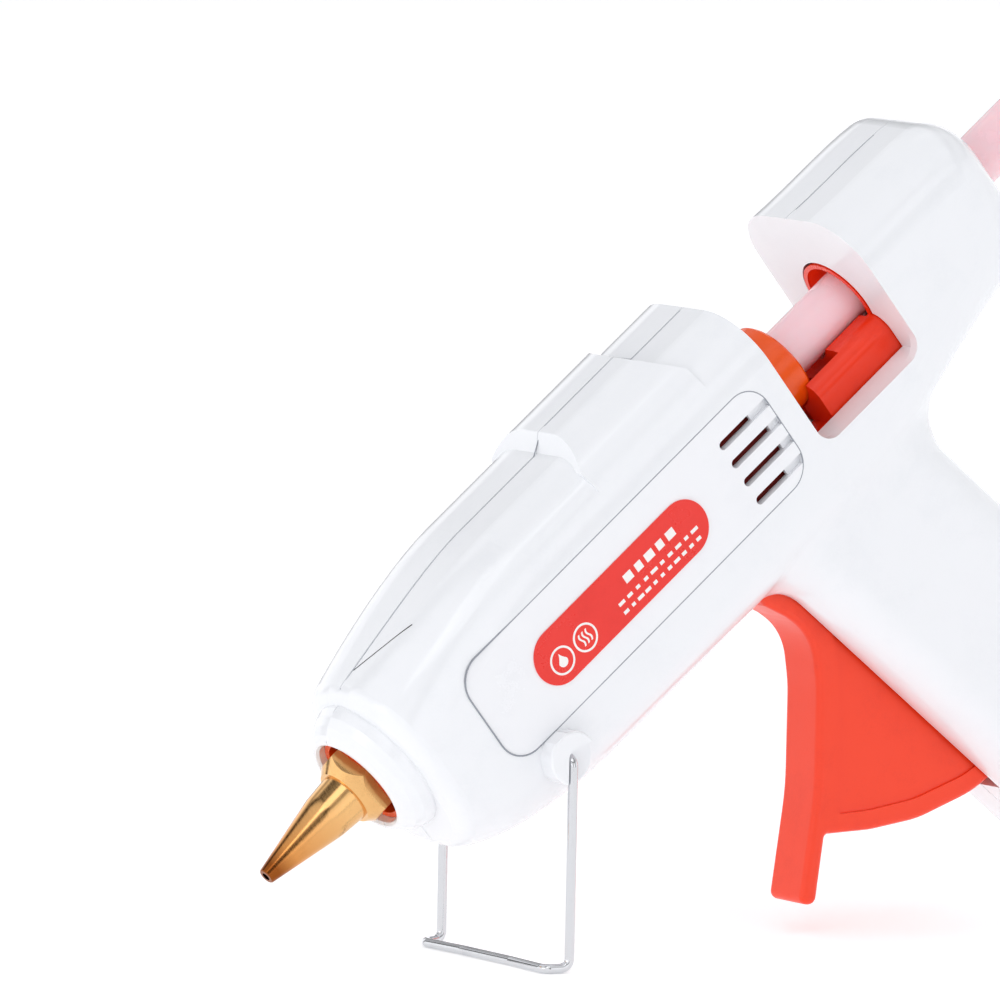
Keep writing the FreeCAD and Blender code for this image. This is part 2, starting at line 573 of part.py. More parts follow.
# ---------------------------------------------------------------- stand
top = V(cx, -LEG_Y, cz)
leg_end = V(cx + LEG[0], -LEG_Y, cz + LEG[1])
FWD = (-math.cos(p_rad), math.sin(p_rad))
bar_x = leg_end.x + FWD[0] * 5.0
bar_z = leg_end.z + FWD[1] * 5.0
pts = [V(cx, -17.6, cz), top, leg_end, V(bar_x, -LEG_Y + 1.0, bar_z),
       V(bar_x, LEG_Y - 1.0, bar_z), V(leg_end.x, LEG_Y, leg_end.z), V(cx, LEG_Y, cz),
       V(cx, 17.6, cz)]
stand = pipe(pts, WIRE_R, 2.0)
nodes["stand_wire"] = stand

# ---------------------------------------------------------------- glue stick
STICK_X0, STICK_X1 = 60.0, 246.0
stick = cyl_x(STICK_R, STICK_X0, STICK_X1)
nodes["glue_stick"] = along(stick, lambda e: e.BoundBox.XMin > STICK_X1 - 0.1, 0.4)

# ---------------------------------------------------------------- switch, lamp, cord inlet, wiring
SKIN_Y = -GRIP_W
frame_sw = grip_box(SW_S - 8, SW_S + 8, SKIN_Y - 1.4, SKIN_Y - 0.2, SW_B - 5.8, SW_B + 5.8)
case_sw = grip_box(SW_S - 6.7, SW_S + 6.7, SKIN_Y - 0.3, -6.5, SW_B - 4.5, SW_B + 4.5)
well_sw = grip_box(SW_S - 5.9, SW_S + 5.9, -20, SKIN_Y + 4.5, SW_B - 3.9, SW_B + 3.9)
rock_y = SKIN_Y + 1.9
rock_at = gp(SW_S, SW_B - 4.2, rock_y)
pin_hole = Part.makeCylinder(0.75, 8.4, rock_at, V(BACK[0], 0, BACK[1]))
nodes["switch_case"] = frame_sw.fuse(case_sw).cut(well_sw).cut(pin_hole).removeSplitter()
TILT = 8.0
key = Part.Face(Part.makePolygon([
    V(-5.3, -18.8, 0), V(-2.0, -18.4, 0), V(2.0, -18.4, 0), V(5.3, -18.8, 0), V(4.6, -14.7, 0),
    V(0.8, -13.1, 0), V(-0.8, -13.1, 0), V(-4.6, -14.7, 0), V(-5.3, -18.8, 0)]))
key = key.extrude(V(0, 0, 7.2))
key.translate(V(0, 0, -3.6))
key = key.fuse(Part.makeCylinder(0.7, 8.2, V(0, rock_y, -4.1), V(0, 0, 1)))
key.rotate(V(0, rock_y, 0), V(0, 0, 1), TILT)
key.translate(V(SW_S, 0, -SW_B))
nodes["switch_rocker"] = key.transformed(GRIP_M)
lens = cyl_y(2.45, SKIN_Y - 0.8, -13.5, lamp_at.x, lamp_at.z)
nodes["indicator_lamp"] = along(lens, lambda e: e.BoundBox.YMax < SKIN_Y - 0.7, 0.8)
GLAND_OUT = 5.0
gland = grip_cyl(5.1, GRIP_LEN - 7, GRIP_LEN + GLAND_OUT, CORD_B)
gland = gland.fuse(grip_cyl(7.0, GRIP_LEN - 6.0, GRIP_LEN - 2.4, CORD_B))
CORD_R = 3.6
nodes["cord_gland"] = gland.cut(grip_cyl(CORD_R, GRIP_LEN - 9, GRIP_LEN + 15, CORD_B))
nodes["terminal_block"] = grip_box(72, 82, -8, 8, 16, 26)
for name, sgn, ez in (("left_lead", -1, -10.6), ("right_lead", 1, -13.2)):
    path = [V(96.2, sgn * 3.0, ez), V(100.5, sgn * 3.2, -12.5), V(108, sgn * 14.0, -16.5),
            V(124, sgn * 12.6, -25.0), V(148, sgn * 11.0, -25.4), gp(-20, 32, sgn * 10.4),
            gp(25, 30.5, sgn * 10.4), gp(60, 30.5, sgn * 10.4), gp(67.2, 24.5, sgn * 5.0),
            gp(71.6, 23.5, sgn * 4.0)]
    nodes[name] = pipe(path, 0.9, 2.2)

# ---------------------------------------------------------------- screws
screws = []
for sx, sz in SCREWS:
    shank = cyl_y(1.4, -11.5, 9.0, sx, sz)
    head = cyl_y(2.9, 9.0, 11.2, sx, sz)
    cross = box(sx - 1.7, sx + 1.7, 10.0, 12, sz - 0.35, sz + 0.35)
    cross = cross.fuse(box(sx - 0.35, sx + 0.35, 10.0, 12, sz - 1.7, sz + 1.7))
    screws.append(shank.fuse(head).cut(cross).removeSplitter())
nodes["housing_screws"] = Part.makeCompound(screws)

# ---------------------------------------------------------------- placement on the floor
for name in nodes:
    s = nodes[name]
    s.rotate(V(0, 0, 0), V(0, 1, 0), -PITCH)
    s.translate(V(0, 0, TIP_H))
whole = Part.makeCompound(list(nodes.values()))
bb = whole.optimalBoundingBox(False, False)
print("bounds", bb)
shift = V(-(bb.XMin + bb.XMax) / 2, -(bb.YMin + bb.YMax) / 2, -bb.ZMin)
print("shift", shift)
for name in nodes:
    s = nodes[name]
    s.translate(shift)
    wanted = len(SCREWS) if name == "housing_screws" else 1
    if not s.isValid() or len(s.Solids) != wanted:
        print("CHECK", name, s.isValid(), len(s.Solids))
    s.exportStep("parts/" + name + ".step")
print(len(nodes), "nodes")
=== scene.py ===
# %% [markdown]
# ## Loading the frame
# The glue gun's sizes, bodies and joints come packed from CAD. Everything made here is in metres in
# that same frame, so a piece goes where the CAD says.

# %% Load the imported model
import bpy
import bmesh
import json
import math
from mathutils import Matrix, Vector
from mathutils.bvhtree import BVHTree


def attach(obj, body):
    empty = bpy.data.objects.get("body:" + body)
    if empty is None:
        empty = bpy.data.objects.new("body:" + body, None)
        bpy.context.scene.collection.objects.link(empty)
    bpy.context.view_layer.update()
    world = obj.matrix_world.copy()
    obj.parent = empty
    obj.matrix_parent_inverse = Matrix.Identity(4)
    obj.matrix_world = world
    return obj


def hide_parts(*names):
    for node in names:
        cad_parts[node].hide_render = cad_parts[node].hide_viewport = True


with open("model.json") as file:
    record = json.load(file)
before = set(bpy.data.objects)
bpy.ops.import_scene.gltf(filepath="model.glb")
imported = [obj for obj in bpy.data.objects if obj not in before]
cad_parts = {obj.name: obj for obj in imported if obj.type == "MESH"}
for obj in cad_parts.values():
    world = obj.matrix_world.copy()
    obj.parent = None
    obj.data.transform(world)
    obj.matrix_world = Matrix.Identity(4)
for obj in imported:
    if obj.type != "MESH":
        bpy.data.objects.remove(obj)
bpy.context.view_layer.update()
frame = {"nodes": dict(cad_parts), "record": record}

nodes = frame["nodes"]

# %% [markdown]
# ## Barrel coordinates
# The gun stands on its wire and its heel with the barrel pitched nose down, so its own directions are
# slanted in the frame. One helper turns millimetres along, across and above the barrel axis into the
# frame. Its origin is worked out from the trigger pin, which the record places exactly.

# %% Barrel coordinates
MM = 0.001
PITCH = math.radians(38.0)
TRIGGER_PIN = (149.8, -36.0)
along = Vector((math.cos(PITCH), 0, math.sin(PITCH)))
above = Vector((-math.sin(PITCH), 0, math.cos(PITCH)))
across = Vector((0, 1, 0))
joint_list = frame["record"]["behaviour"]["joints"]
pin_place = Vector(next(j["pos_m"] for j in joint_list if j["name"] == "trigger_squeeze"))
tip_place = pin_place - along * TRIGGER_PIN[0] * MM - above * TRIGGER_PIN[1] * MM


def gun(x, y, z):
    """Millimetres along, across and above the barrel axis, as a point of the frame."""
    return tip_place + (along * x + across * y + above * z) * MM


print("nozzle tip, mm:", [round(c * 1000, 2) for c in tip_place])

# %% [markdown]
# ## Camera
# The view is of the gun's left side from in front of it and a little above, from far away with a long
# lens, so parallel edges stay nearly parallel. The camera stands on that line of sight.
# Its lens is worked out from how wide a piece of the world the picture shows.

# %% Camera
AZIMUTH, ELEVATION = math.radians(-33.25), math.radians(6.4)
CAMERA_AWAY = 2.5
FIELD_WIDTH = 0.200
SENSOR = 36.0
NEAREST, FARTHEST = 0.05, 30
AIM_BEHIND_TIP, AIM_ABOVE_TIP = 0.0554652, 0.07175
aim_point = Vector((tip_place.x + AIM_BEHIND_TIP, 0.0, tip_place.z + AIM_ABOVE_TIP))
sight = Vector((math.sin(AZIMUTH) * math.cos(ELEVATION), -math.cos(AZIMUTH) * math.cos(ELEVATION),
                math.sin(ELEVATION)))
cam_data = bpy.data.cameras.new("camera")
cam = bpy.data.objects.new("camera", cam_data)
bpy.context.scene.collection.objects.link(cam)
bpy.context.scene.camera = cam
cam.location = aim_point + sight * CAMERA_AWAY
cam.rotation_euler = (-sight).to_track_quat("-Z", "Y").to_euler()
cam_data.sensor_width = SENSOR
cam_data.lens = SENSOR * CAMERA_AWAY / FIELD_WIDTH
cam_data.clip_start, cam_data.clip_end = NEAREST, FARTHEST
print("lens, mm:", cam_data.lens)

# %% [markdown]
# ## Shared shader groups
# Mould texture, handling marks and brushing each show on more than one piece, so each is a node group
# that is built once and used with its own values. The distance along the barrel is a group as well,
# ready for any finish that changes with it. A group puts out only masks and heights that change over
# the surface, read from object coordinates, so the pattern sits still on the piece. The shaders
# themselves stay in the materials.


# %% Helper that starts a shader group
def shader_group(name, inputs, outputs):
    """A new group with number inputs (name, default) and number outputs (name)."""
    tree = bpy.data.node_groups.new(name, "ShaderNodeTree")
    for label, default in inputs:
        kind = "NodeSocketVector" if isinstance(default, tuple) else "NodeSocketFloat"
        socket = tree.interface.new_socket(name=label, in_out="INPUT", socket_type=kind)
        socket.default_value = default
    for label in outputs:
        tree.interface.new_socket(name=label, in_out="OUTPUT", socket_type="NodeSocketFloat")
    return tree, tree.nodes.new("NodeGroupInput"), tree.nodes.new("NodeGroupOutput")


def add(tree, kind, **values):
    """A node of that kind with its properties and its inputs' constants set."""
    n = tree.nodes.new(kind)
    for key, value in values.items():
        if hasattr(n, key):
            setattr(n, key, value)
        else:
            n.inputs[key.replace("_", " ")].default_value = value
    return n


def noise(tree, vector, scale, detail, rough=0.5):
    """A noise texture on a vector socket. The scale is a number or another socket."""
    n = add(tree, "ShaderNodeTexNoise", Detail=detail, Roughness=rough)
    tree.links.new(vector, n.inputs["Vector"])
    if isinstance(scale, (int, float)):
        n.inputs["Scale"].default_value = scale
    else:
        tree.links.new(scale, n.inputs["Scale"])
    return n.outputs["Fac"]


def spread(tree, value, low, high, to_low=0.0, to_high=1.0):
    """Stretches a value's range, clamped."""
    n = add(tree, "ShaderNodeMapRange", clamp=True)
    for key, number in (("From Min", low), ("From Max", high), ("To Min", to_low), ("To Max", to_high)):
        if isinstance(number, (int, float)):
            n.inputs[key].default_value = number
        else:
            tree.links.new(number, n.inputs[key])
    tree.links.new(value, n.inputs["Value"])
    return n.outputs["Result"]


def maths(tree, operation, a, b):
    """A maths node on two sockets or numbers."""
    n = add(tree, "ShaderNodeMath", operation=operation)
    for i, item in enumerate((a, b)):
        if isinstance(item, (int, float)):
            n.inputs[i].default_value = item
        else:
            tree.links.new(item, n.inputs[i])
    return n.outputs[0]


# %% Mould texture group
PEEL_SHARE = 0.35
mould, m_in, m_out = shader_group(
    "mould_texture", [("Peel Scale", 900.0), ("Flow Scale", 60.0)], ["Height", "Gloss Drift"])
m_place = add(mould, "ShaderNodeTexCoord").outputs["Object"]
peel = noise(mould, m_place, m_in.outputs["Peel Scale"], 2.0)
flow = noise(mould, m_place, m_in.outputs["Flow Scale"], 3.0, 0.6)
m_height = maths(mould, "ADD", maths(mould, "MULTIPLY", peel, PEEL_SHARE), flow)
mould.links.new(m_height, m_out.inputs["Height"])
mould.links.new(spread(mould, flow, 0.3, 0.7), m_out.inputs["Gloss Drift"])

# %% Handling marks group
BLOT_SHARE, FINE_SHARE = 0.8, 0.2
FINE_SCALE = 2400.0
marks, k_in, k_out = shader_group("handling_marks", [("Scale", 90.0), ("Cover", 0.5)], ["Mask"])
k_place = add(marks, "ShaderNodeTexCoord").outputs["Object"]
blots = noise(marks, k_place, k_in.outputs["Scale"], 5.0, 0.65)
fine = noise(marks, k_place, FINE_SCALE, 2.0)
k_mix = maths(marks, "ADD", maths(marks, "MULTIPLY", blots, BLOT_SHARE),
              maths(marks, "MULTIPLY", fine, FINE_SHARE))
marks.links.new(spread(marks, k_mix, k_in.outputs["Cover"], 0.85), k_out.inputs["Mask"])

# %% Brushing group
brushing, b_in, b_out = shader_group(
    "brushing", [("Stretch", (400.0, 400.0, 6000.0))], ["Streak"])
b_place = add(brushing, "ShaderNodeTexCoord").outputs["Object"]
b_map = add(brushing, "ShaderNodeMapping")
b_map.inputs["Rotation"].default_value = (0.0, PITCH, 0.0)
brushing.links.new(b_place, b_map.inputs["Vector"])
brushing.links.new(b_in.outputs["Stretch"], b_map.inputs["Scale"])
brushing.links.new(noise(brushing, b_map.outputs["Vector"], 1.0, 3.0, 0.6), b_out.inputs["Streak"])

# %% Barrel distance group
# How far back from the nozzle tip a point lies, for what changes along the barrel, such as heat tint.
reach, r_in, r_out = shader_group("barrel_distance", [("From", 0.0), ("To", 0.02)], ["Share"])
r_place = add(reach, "ShaderNodeTexCoord").outputs["Object"]
r_from_tip = add(reach, "ShaderNodeVectorMath", operation="SUBTRACT")
r_from_tip.inputs[1].default_value = tip_place
r_dot = add(reach, "ShaderNodeVectorMath", operation="DOT_PRODUCT")
r_dot.inputs[1].default_value = along
reach.links.new(r_place, r_from_tip.inputs[0])
reach.links.new(r_from_tip.outputs["Vector"], r_dot.inputs[0])
r_share = spread(reach, r_dot.outputs["Value"], r_in.outputs["From"], r_in.outputs["To"])
reach.links.new(r_share, r_out.inputs["Share"])
print("shader groups:", [g.name for g in (mould, marks, brushing, reach)])

# %% [markdown]
# ## Materials from a common start
# Most of the gun is moulded plastic: a colour that hardly varies, a gloss that drifts where the melt
# cooled unevenly, and a very shallow orange peel. A plain colour would look like paint on cardboard.
# One helper builds that base, and each material then sets its own colours, gloss and texture.


# %% Material helper
RELIEF_DEPTH = 0.0004


def material(name, colour, second, rough, rough_far, peel=900.0, flow=60.0, bump=0.02, metal=0.0,
             marked=0.5, mark_scale=90.0):
    """A Principled material whose colour and gloss drift between two values, with a shallow bump."""
    m = bpy.data.materials.new(name)
    m.use_nodes = True
    tree = m.node_tree
    shader = tree.nodes["Principled BSDF"]
    shader.inputs["Metallic"].default_value = metal
    texture = add(tree, "ShaderNodeGroup", node_tree=mould)
    texture.inputs["Peel Scale"].default_value = peel
    texture.inputs["Flow Scale"].default_value = flow
    handled = add(tree, "ShaderNodeGroup", node_tree=marks)
    handled.inputs["Scale"].default_value = mark_scale
    handled.inputs["Cover"].default_value = marked
    tint = add(tree, "ShaderNodeMix", data_type="RGBA")
    tint.inputs[6].default_value = (*colour, 1)
    tint.inputs[7].default_value = (*second, 1)
    tree.links.new(handled.outputs["Mask"], tint.inputs[0])
    tree.links.new(tint.outputs[2], shader.inputs["Base Color"])
    dull = maths(tree, "ADD", maths(tree, "MULTIPLY", texture.outputs["Gloss Drift"], 0.5),
                 maths(tree, "MULTIPLY", handled.outputs["Mask"], 0.5))
    tree.links.new(spread(tree, dull, 0.0, 1.0, rough, rough_far), shader.inputs["Roughness"])
    relief = add(tree, "ShaderNodeBump", Strength=bump, Distance=RELIEF_DEPTH)
    tree.links.new(texture.outputs["Height"], relief.inputs["Height"])
    tree.links.new(relief.outputs["Normal"], shader.inputs["Normal"])
    return m


# %% Plastic materials
shell_white = material("shell_white", (0.87, 0.885, 0.91), (0.82, 0.84, 0.87), 0.14, 0.26, bump=0.05)
shell_shader = shell_white.node_tree.nodes["Principled BSDF"]
shell_shader.inputs["Coat Weight"].default_value = 0.35
shell_shader.inputs["Coat Roughness"].default_value = 0.06
panel_white = material("panel_white", (0.885, 0.895, 0.92), (0.84, 0.855, 0.885), 0.20, 0.34, bump=0.05)
guide_orange = material("guide_orange", (0.93, 0.10, 0.004), (0.80, 0.06, 0.002), 0.16, 0.3, bump=0.05)
carriage_red = material("carriage_red", (0.90, 0.035, 0.004), (0.74, 0.02, 0.002), 0.2, 0.36, bump=0.06)
trigger_orange = material("trigger_orange", (0.92, 0.045, 0.006), (0.80, 0.03, 0.004), 0.30, 0.46,
                          peel=1600.0, bump=0.10)
label_red = material("label_red", (0.84, 0.028, 0.018), (0.75, 0.02, 0.012), 0.24, 0.38, bump=0.03)
print_white = material("print_white", (0.93, 0.90, 0.88), (0.86, 0.82, 0.80), 0.4, 0.5, bump=0.03)
switch_black = material("switch_black", (0.012, 0.012, 0.013), (0.03, 0.03, 0.03), 0.42, 0.6,
                        peel=2600.0, bump=0.25)
rocker_red = material("rocker_red", (0.62, 0.012, 0.008), (0.5, 0.01, 0.006), 0.2, 0.36, bump=0.04)
black_rubber = material("black_rubber", (0.014, 0.014, 0.015), (0.05, 0.048, 0.045), 0.62, 0.8,
                        peel=1900.0, bump=0.3)
terminal_white = material("terminal_white", (0.72, 0.71, 0.66), (0.6, 0.58, 0.52), 0.5, 0.65, bump=0.08)
# Grey for the painted shade in the panel gaps and along the seam.
gap_shade_grey = material("gap_shade_grey", (0.30, 0.32, 0.36), (0.22, 0.24, 0.27), 0.5, 0.7, bump=0.05)
print("plastics made:", [m.name for m in (shell_white, panel_white, guide_orange, carriage_red,
                                          trigger_orange, label_red, print_white, switch_black,
                                          rocker_red, black_rubber, terminal_white, gap_shade_grey)])

# %% [markdown]
# ## Clear and metal materials
# The glue stick is a cloudy soft resin, so light enters it and spreads. The lamp lens is clear and
# coloured right through. Metals have no colour of their own beyond their reflection, so their
# finish is all in roughness: brushing on cut steel, fine scratches on plated wire, and on the brass a
# heat tint that deepens towards the hot tip.

# %% Glue and lens
glue_pink = material("glue_pink", (0.95, 0.66, 0.70), (0.93, 0.58, 0.64), 0.22, 0.36, bump=0.06)
glue_shader = glue_pink.node_tree.nodes["Principled BSDF"]
glue_shader.inputs["Subsurface Weight"].default_value = 0.75
glue_shader.inputs["Subsurface Radius"].default_value = (1.0, 0.45, 0.5)
glue_shader.inputs["Subsurface Scale"].default_value = 0.004
lamp_red = material("lamp_red", (0.85, 0.03, 0.02), (0.75, 0.02, 0.015), 0.08, 0.16, bump=0.02)
lamp_red.node_tree.nodes["Principled BSDF"].inputs["Transmission Weight"].default_value = 0.6
print("clear materials:", glue_pink.name, lamp_red.name)


# %% Brushed metal helper
STREAK_DEPTH = 0.0002


def brushed(name, colour, second, rough, rough_far, stretch, bump=0.05):
    """A metal whose gloss and shallow relief follow the brushing streaks."""
    m = material(name, colour, second, rough, rough_far, metal=1.0, marked=0.55)
    tree = m.node_tree
    streaks = add(tree, "ShaderNodeGroup", node_tree=brushing)
    streaks.inputs["Stretch"].default_value = stretch
    shader = tree.nodes["Principled BSDF"]
    tree.links.new(spread(tree, streaks.outputs["Streak"], 0.3, 0.7, rough, rough_far),
                   shader.inputs["Roughness"])
    relief = add(tree, "ShaderNodeBump", Strength=bump, Distance=STREAK_DEPTH)
    tree.links.new(streaks.outputs["Streak"], relief.inputs["Height"])
    tree.links.new(relief.outputs["Normal"], shader.inputs["Normal"])
    return m


ROUND_CUT = (5200.0, 300.0, 300.0)
steel = brushed("steel", (0.58, 0.58, 0.60), (0.44, 0.43, 0.43), 0.22, 0.42, ROUND_CUT)
chrome = brushed("stand_chrome", (0.66, 0.67, 0.69), (0.50, 0.50, 0.52), 0.06, 0.16,
                 (300.0, 300.0, 300.0), 0.02)
chamber_alu = brushed("chamber_alu", (0.66, 0.66, 0.68), (0.50, 0.50, 0.52), 0.35, 0.55,
                      (900.0, 900.0, 900.0), 0.3)
electrode_alu = brushed("electrode_alu", (0.78, 0.78, 0.79), (0.66, 0.66, 0.67), 0.2, 0.35, ROUND_CUT)
brass = brushed("brass", (0.80, 0.47, 0.19), (0.62, 0.32, 0.11), 0.10, 0.22, ROUND_CUT, 0.06)
print("metals:", [m.name for m in (steel, chrome, chamber_alu, electrode_alu, brass)])

# %% Heat tint on the brass
HOT_TO, COOL_FROM = 0.002, 0.020
HOT_TINT, WARM_TINT, NO_TINT = (0.36, 0.17, 0.075, 1), (0.82, 0.60, 0.42, 1), (1, 1, 1, 1)
WARM_AT = 0.25
brass_tree = brass.node_tree
from_tip = add(brass_tree, "ShaderNodeGroup", node_tree=reach)
from_tip.inputs["From"].default_value = HOT_TO
from_tip.inputs["To"].default_value = COOL_FROM
tinted = add(brass_tree, "ShaderNodeValToRGB")
ramp = tinted.color_ramp
ramp.elements[0].color = HOT_TINT
ramp.elements[1].color = NO_TINT
warm = ramp.elements.new(WARM_AT)
warm.color = WARM_TINT
under = add(brass_tree, "ShaderNodeMix", data_type="RGBA", blend_type="MULTIPLY")
under.inputs[0].default_value = 1.0
brass_shader = brass_tree.nodes["Principled BSDF"]
plain_brass = brass_shader.inputs["Base Color"].links[0].from_socket
brass_tree.links.new(from_tip.outputs["Share"], tinted.inputs["Fac"])
brass_tree.links.new(plain_brass, under.inputs[6])
brass_tree.links.new(tinted.outputs["Color"], under.inputs[7])
brass_tree.links.new(under.outputs[2], brass_shader.inputs["Base Color"])
print("tint runs from", HOT_TO * 1000, "to", COOL_FROM * 1000, "mm behind the tip")

# %% Heater and wiring materials
ceramic = material("ceramic", (0.24, 0.23, 0.22), (0.17, 0.16, 0.155), 0.6, 0.8, peel=3000.0, bump=0.2)
film_amber = material("film_amber", (0.60, 0.27, 0.04), (0.48, 0.2, 0.03), 0.2, 0.4, bump=0.05)
silicone_red = material("silicone_red", (0.26, 0.016, 0.010), (0.16, 0.010, 0.006), 0.5, 0.7,
                        peel=2000.0, bump=0.2)
lead_white = material("lead_white", (0.74, 0.73, 0.68), (0.6, 0.58, 0.53), 0.55, 0.75,
                      peel=3500.0, bump=0.5)
print("hidden finishes:", [m.name for m in (ceramic, film_amber, silicone_red, lead_white)])

# %% [markdown]
# ## Finishes on the CAD nodes
# The housing, the guide, the trigger and the inner parts have the right shape already, so they stay
# and only get their finish, which goes into each object's material slots. The nodes that a piece
# replaces further down get one too, so that none is ever left plain.

# %% Assign materials to the CAD nodes
finish_of = {
    "left_shell": shell_white, "right_shell": shell_white, "left_panel": panel_white,
    "right_panel": panel_white, "label_plate": label_red, "nozzle": brass,
    "nozzle_collar_ring": guide_orange, "melt_chamber": chamber_alu, "heater_film": film_amber,
    "heater_tablet": ceramic, "upper_electrode": electrode_alu, "lower_electrode": electrode_alu,
    "inlet_sleeve": silicone_red, "sleeve_clamp": steel, "stick_guide": guide_orange,
    "tail_ring": guide_orange, "carriage": carriage_red, "drive_pin": steel, "grip_jaw": steel,
    "jaw_pin": steel, "trigger": trigger_orange, "trigger_pin": steel, "return_spring": steel,
    "stand_wire": chrome, "glue_stick": glue_pink, "switch_case": switch_black,
    "switch_rocker": rocker_red, "indicator_lamp": lamp_red, "cord_gland": black_rubber,
    "terminal_block": terminal_white, "left_lead": lead_white, "right_lead": lead_white,
    "housing_screws": steel,
}
for node_name, node_object in nodes.items():
    if not node_object.material_slots:
        node_object.data.materials.append(None)
    for material_slot in node_object.material_slots:
        material_slot.material = finish_of[node_name]
print("CAD nodes finished:", len(nodes))

# %% [markdown]
# ## Geometry Nodes helpers
# Wires, ribs, screws and printed strokes all repeat or follow a path, so node trees make them. Each
# tree has named inputs and ends by realizing its instances and setting its material. The result is
# baked to a plain mesh, and the modifier goes, so the piece keeps its place in its mesh.


# %% Tree and bake helpers
def geometry_tree(name, inputs):
    """A geometry tree with a mesh input and named inputs (name, socket type, default)."""
    tree = bpy.data.node_groups.new(name, "GeometryNodeTree")
    tree.interface.new_socket(name="Geometry", in_out="INPUT", socket_type="NodeSocketGeometry")
    for label, kind, default in inputs:
        socket = tree.interface.new_socket(name=label, in_out="INPUT", socket_type=kind)
        if default is not None:
            socket.default_value = default
    tree.interface.new_socket(name="Material", in_out="INPUT", socket_type="NodeSocketMaterial")
    tree.interface.new_socket(name="Geometry", in_out="OUTPUT", socket_type="NodeSocketGeometry")
    return tree, tree.nodes.new("NodeGroupInput"), tree.nodes.new("NodeGroupOutput")


def end_tree(tree, source, entry, leave, smooth):
    """Realize Instances, shading and Set Material at the end of a tree."""
    whole = tree.nodes.new("GeometryNodeRealizeInstances")
    shade = tree.nodes.new("GeometryNodeSetShadeSmooth")
    shade.inputs["Shade Smooth"].default_value = smooth
    paint = tree.nodes.new("GeometryNodeSetMaterial")
    tree.links.new(source, whole.inputs[0])
    tree.links.new(whole.outputs[0], shade.inputs["Geometry"])
    tree.links.new(shade.outputs["Geometry"], paint.inputs["Geometry"])
    tree.links.new(entry.outputs["Material"], paint.inputs["Material"])
    tree.links.new(paint.outputs["Geometry"], leave.inputs["Geometry"])


def outward(mesh):
    """Turns every face of a closed mesh outwards."""
    bm = bmesh.new()
    bm.from_mesh(mesh)
    bmesh.ops.recalc_face_normals(bm, faces=bm.faces)
    bm.to_mesh(mesh)
    bm.free()


def bake(name, points, edges, tree, values):
    """Runs a tree on a small guide mesh and returns the result as a plain piece."""
    guide = bpy.data.meshes.new(name + "_guide")
    guide.from_pydata([tuple(p) for p in points], edges, [])
    holder = bpy.data.objects.new(name + "_guide", guide)
    bpy.context.scene.collection.objects.link(holder)
    maker = holder.modifiers.new("maker", "NODES")
    maker.node_group = tree
    for socket in tree.interface.items_tree:
        if socket.in_out == "INPUT" and socket.name in values:
            maker[socket.identifier] = values[socket.name]
    depsgraph = bpy.context.evaluated_depsgraph_get()
    mesh = bpy.data.meshes.new_from_object(holder.evaluated_get(depsgraph))
    holder.modifiers.remove(maker)
    bpy.data.objects.remove(holder)
    outward(mesh)
    mesh.name = name
    piece = bpy.data.objects.new(name, mesh)
    bpy.context.scene.collection.objects.link(piece)
    print(name, "faces:", len(mesh.polygons))
    return piece


def chain(count, closed=False):
    """The edges of a path through that many points."""
    pairs = [(i, i + 1) for i in range(count - 1)]
    return pairs + [(count - 1, 0)] if closed else pairs


# %% Wire tree
# A round wire along the guide path, its corners bent to a radius.
wire, w_in, w_out = geometry_tree("bent_wire", [
    ("Wire Radius", "NodeSocketFloat", 0.001), ("Bend Radius", "NodeSocketFloat", 0.002),
    ("Bend Steps", "NodeSocketInt", 10), ("Sides", "NodeSocketInt", 24)])
to_curve = wire.nodes.new("GeometryNodeMeshToCurve")
bend = wire.nodes.new("GeometryNodeFilletCurve")
bend.mode = "POLY"
profile = wire.nodes.new("GeometryNodeCurvePrimitiveCircle")
sweep = wire.nodes.new("GeometryNodeCurveToMesh")
sweep.inputs["Fill Caps"].default_value = True
wire.links.new(w_in.outputs["Geometry"], to_curve.inputs["Mesh"])
wire.links.new(to_curve.outputs["Curve"], bend.inputs["Curve"])
wire.links.new(w_in.outputs["Bend Steps"], bend.inputs["Count"])
wire.links.new(w_in.outputs["Bend Radius"], bend.inputs["Radius"])
wire.links.new(w_in.outputs["Sides"], profile.inputs["Resolution"])
wire.links.new(w_in.outputs["Wire Radius"], profile.inputs["Radius"])
wire.links.new(bend.outputs["Curve"], sweep.inputs["Curve"])
wire.links.new(profile.outputs["Curve"], sweep.inputs["Profile Curve"])
end_tree(wire, sweep.outputs["Mesh"], w_in, w_out, True)
print("wire tree nodes:", len(wire.nodes))

# %% [markdown]
# ## Crisp edges on the nozzle and its collar
# The nozzle is turned and milled from brass bar, so its six flats and its steps meet in sharp edges.
# Shading that blends across an edge makes metal look like wax. A merged copy of each mesh has its
# edges marked sharp where two faces meet at more than a small angle, and stands for the CAD node.

# %% Copy the nozzle and the collar ring with sharp edges
SHARP_ANGLE = math.radians(24.0)
SAME_POINT = 1e-7


def crisp_copy(node, name, finish):
    """A merged copy of a CAD node's mesh whose hard edges are marked sharp."""
    bm = bmesh.new()
    bm.from_mesh(nodes[node].data)
    bmesh.ops.remove_doubles(bm, verts=bm.verts, dist=SAME_POINT)
    bmesh.ops.recalc_face_normals(bm, faces=bm.faces)
    for face in bm.faces:
        face.smooth = True
    for edge in bm.edges:
        edge.smooth = edge.calc_face_angle(0.0) < SHARP_ANGLE
    mesh = bpy.data.meshes.new(name)
    bm.to_mesh(mesh)
    bm.free()
    mesh.materials.append(finish)
    piece = bpy.data.objects.new(name, mesh)
    bpy.context.scene.collection.objects.link(piece)
    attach(piece, "housing")
    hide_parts(node)
    print(name, "faces:", len(mesh.polygons))


crisp_copy("nozzle", "nozzle_turned", brass)
crisp_copy("nozzle_collar_ring", "nozzle_collar_crisp", guide_orange)

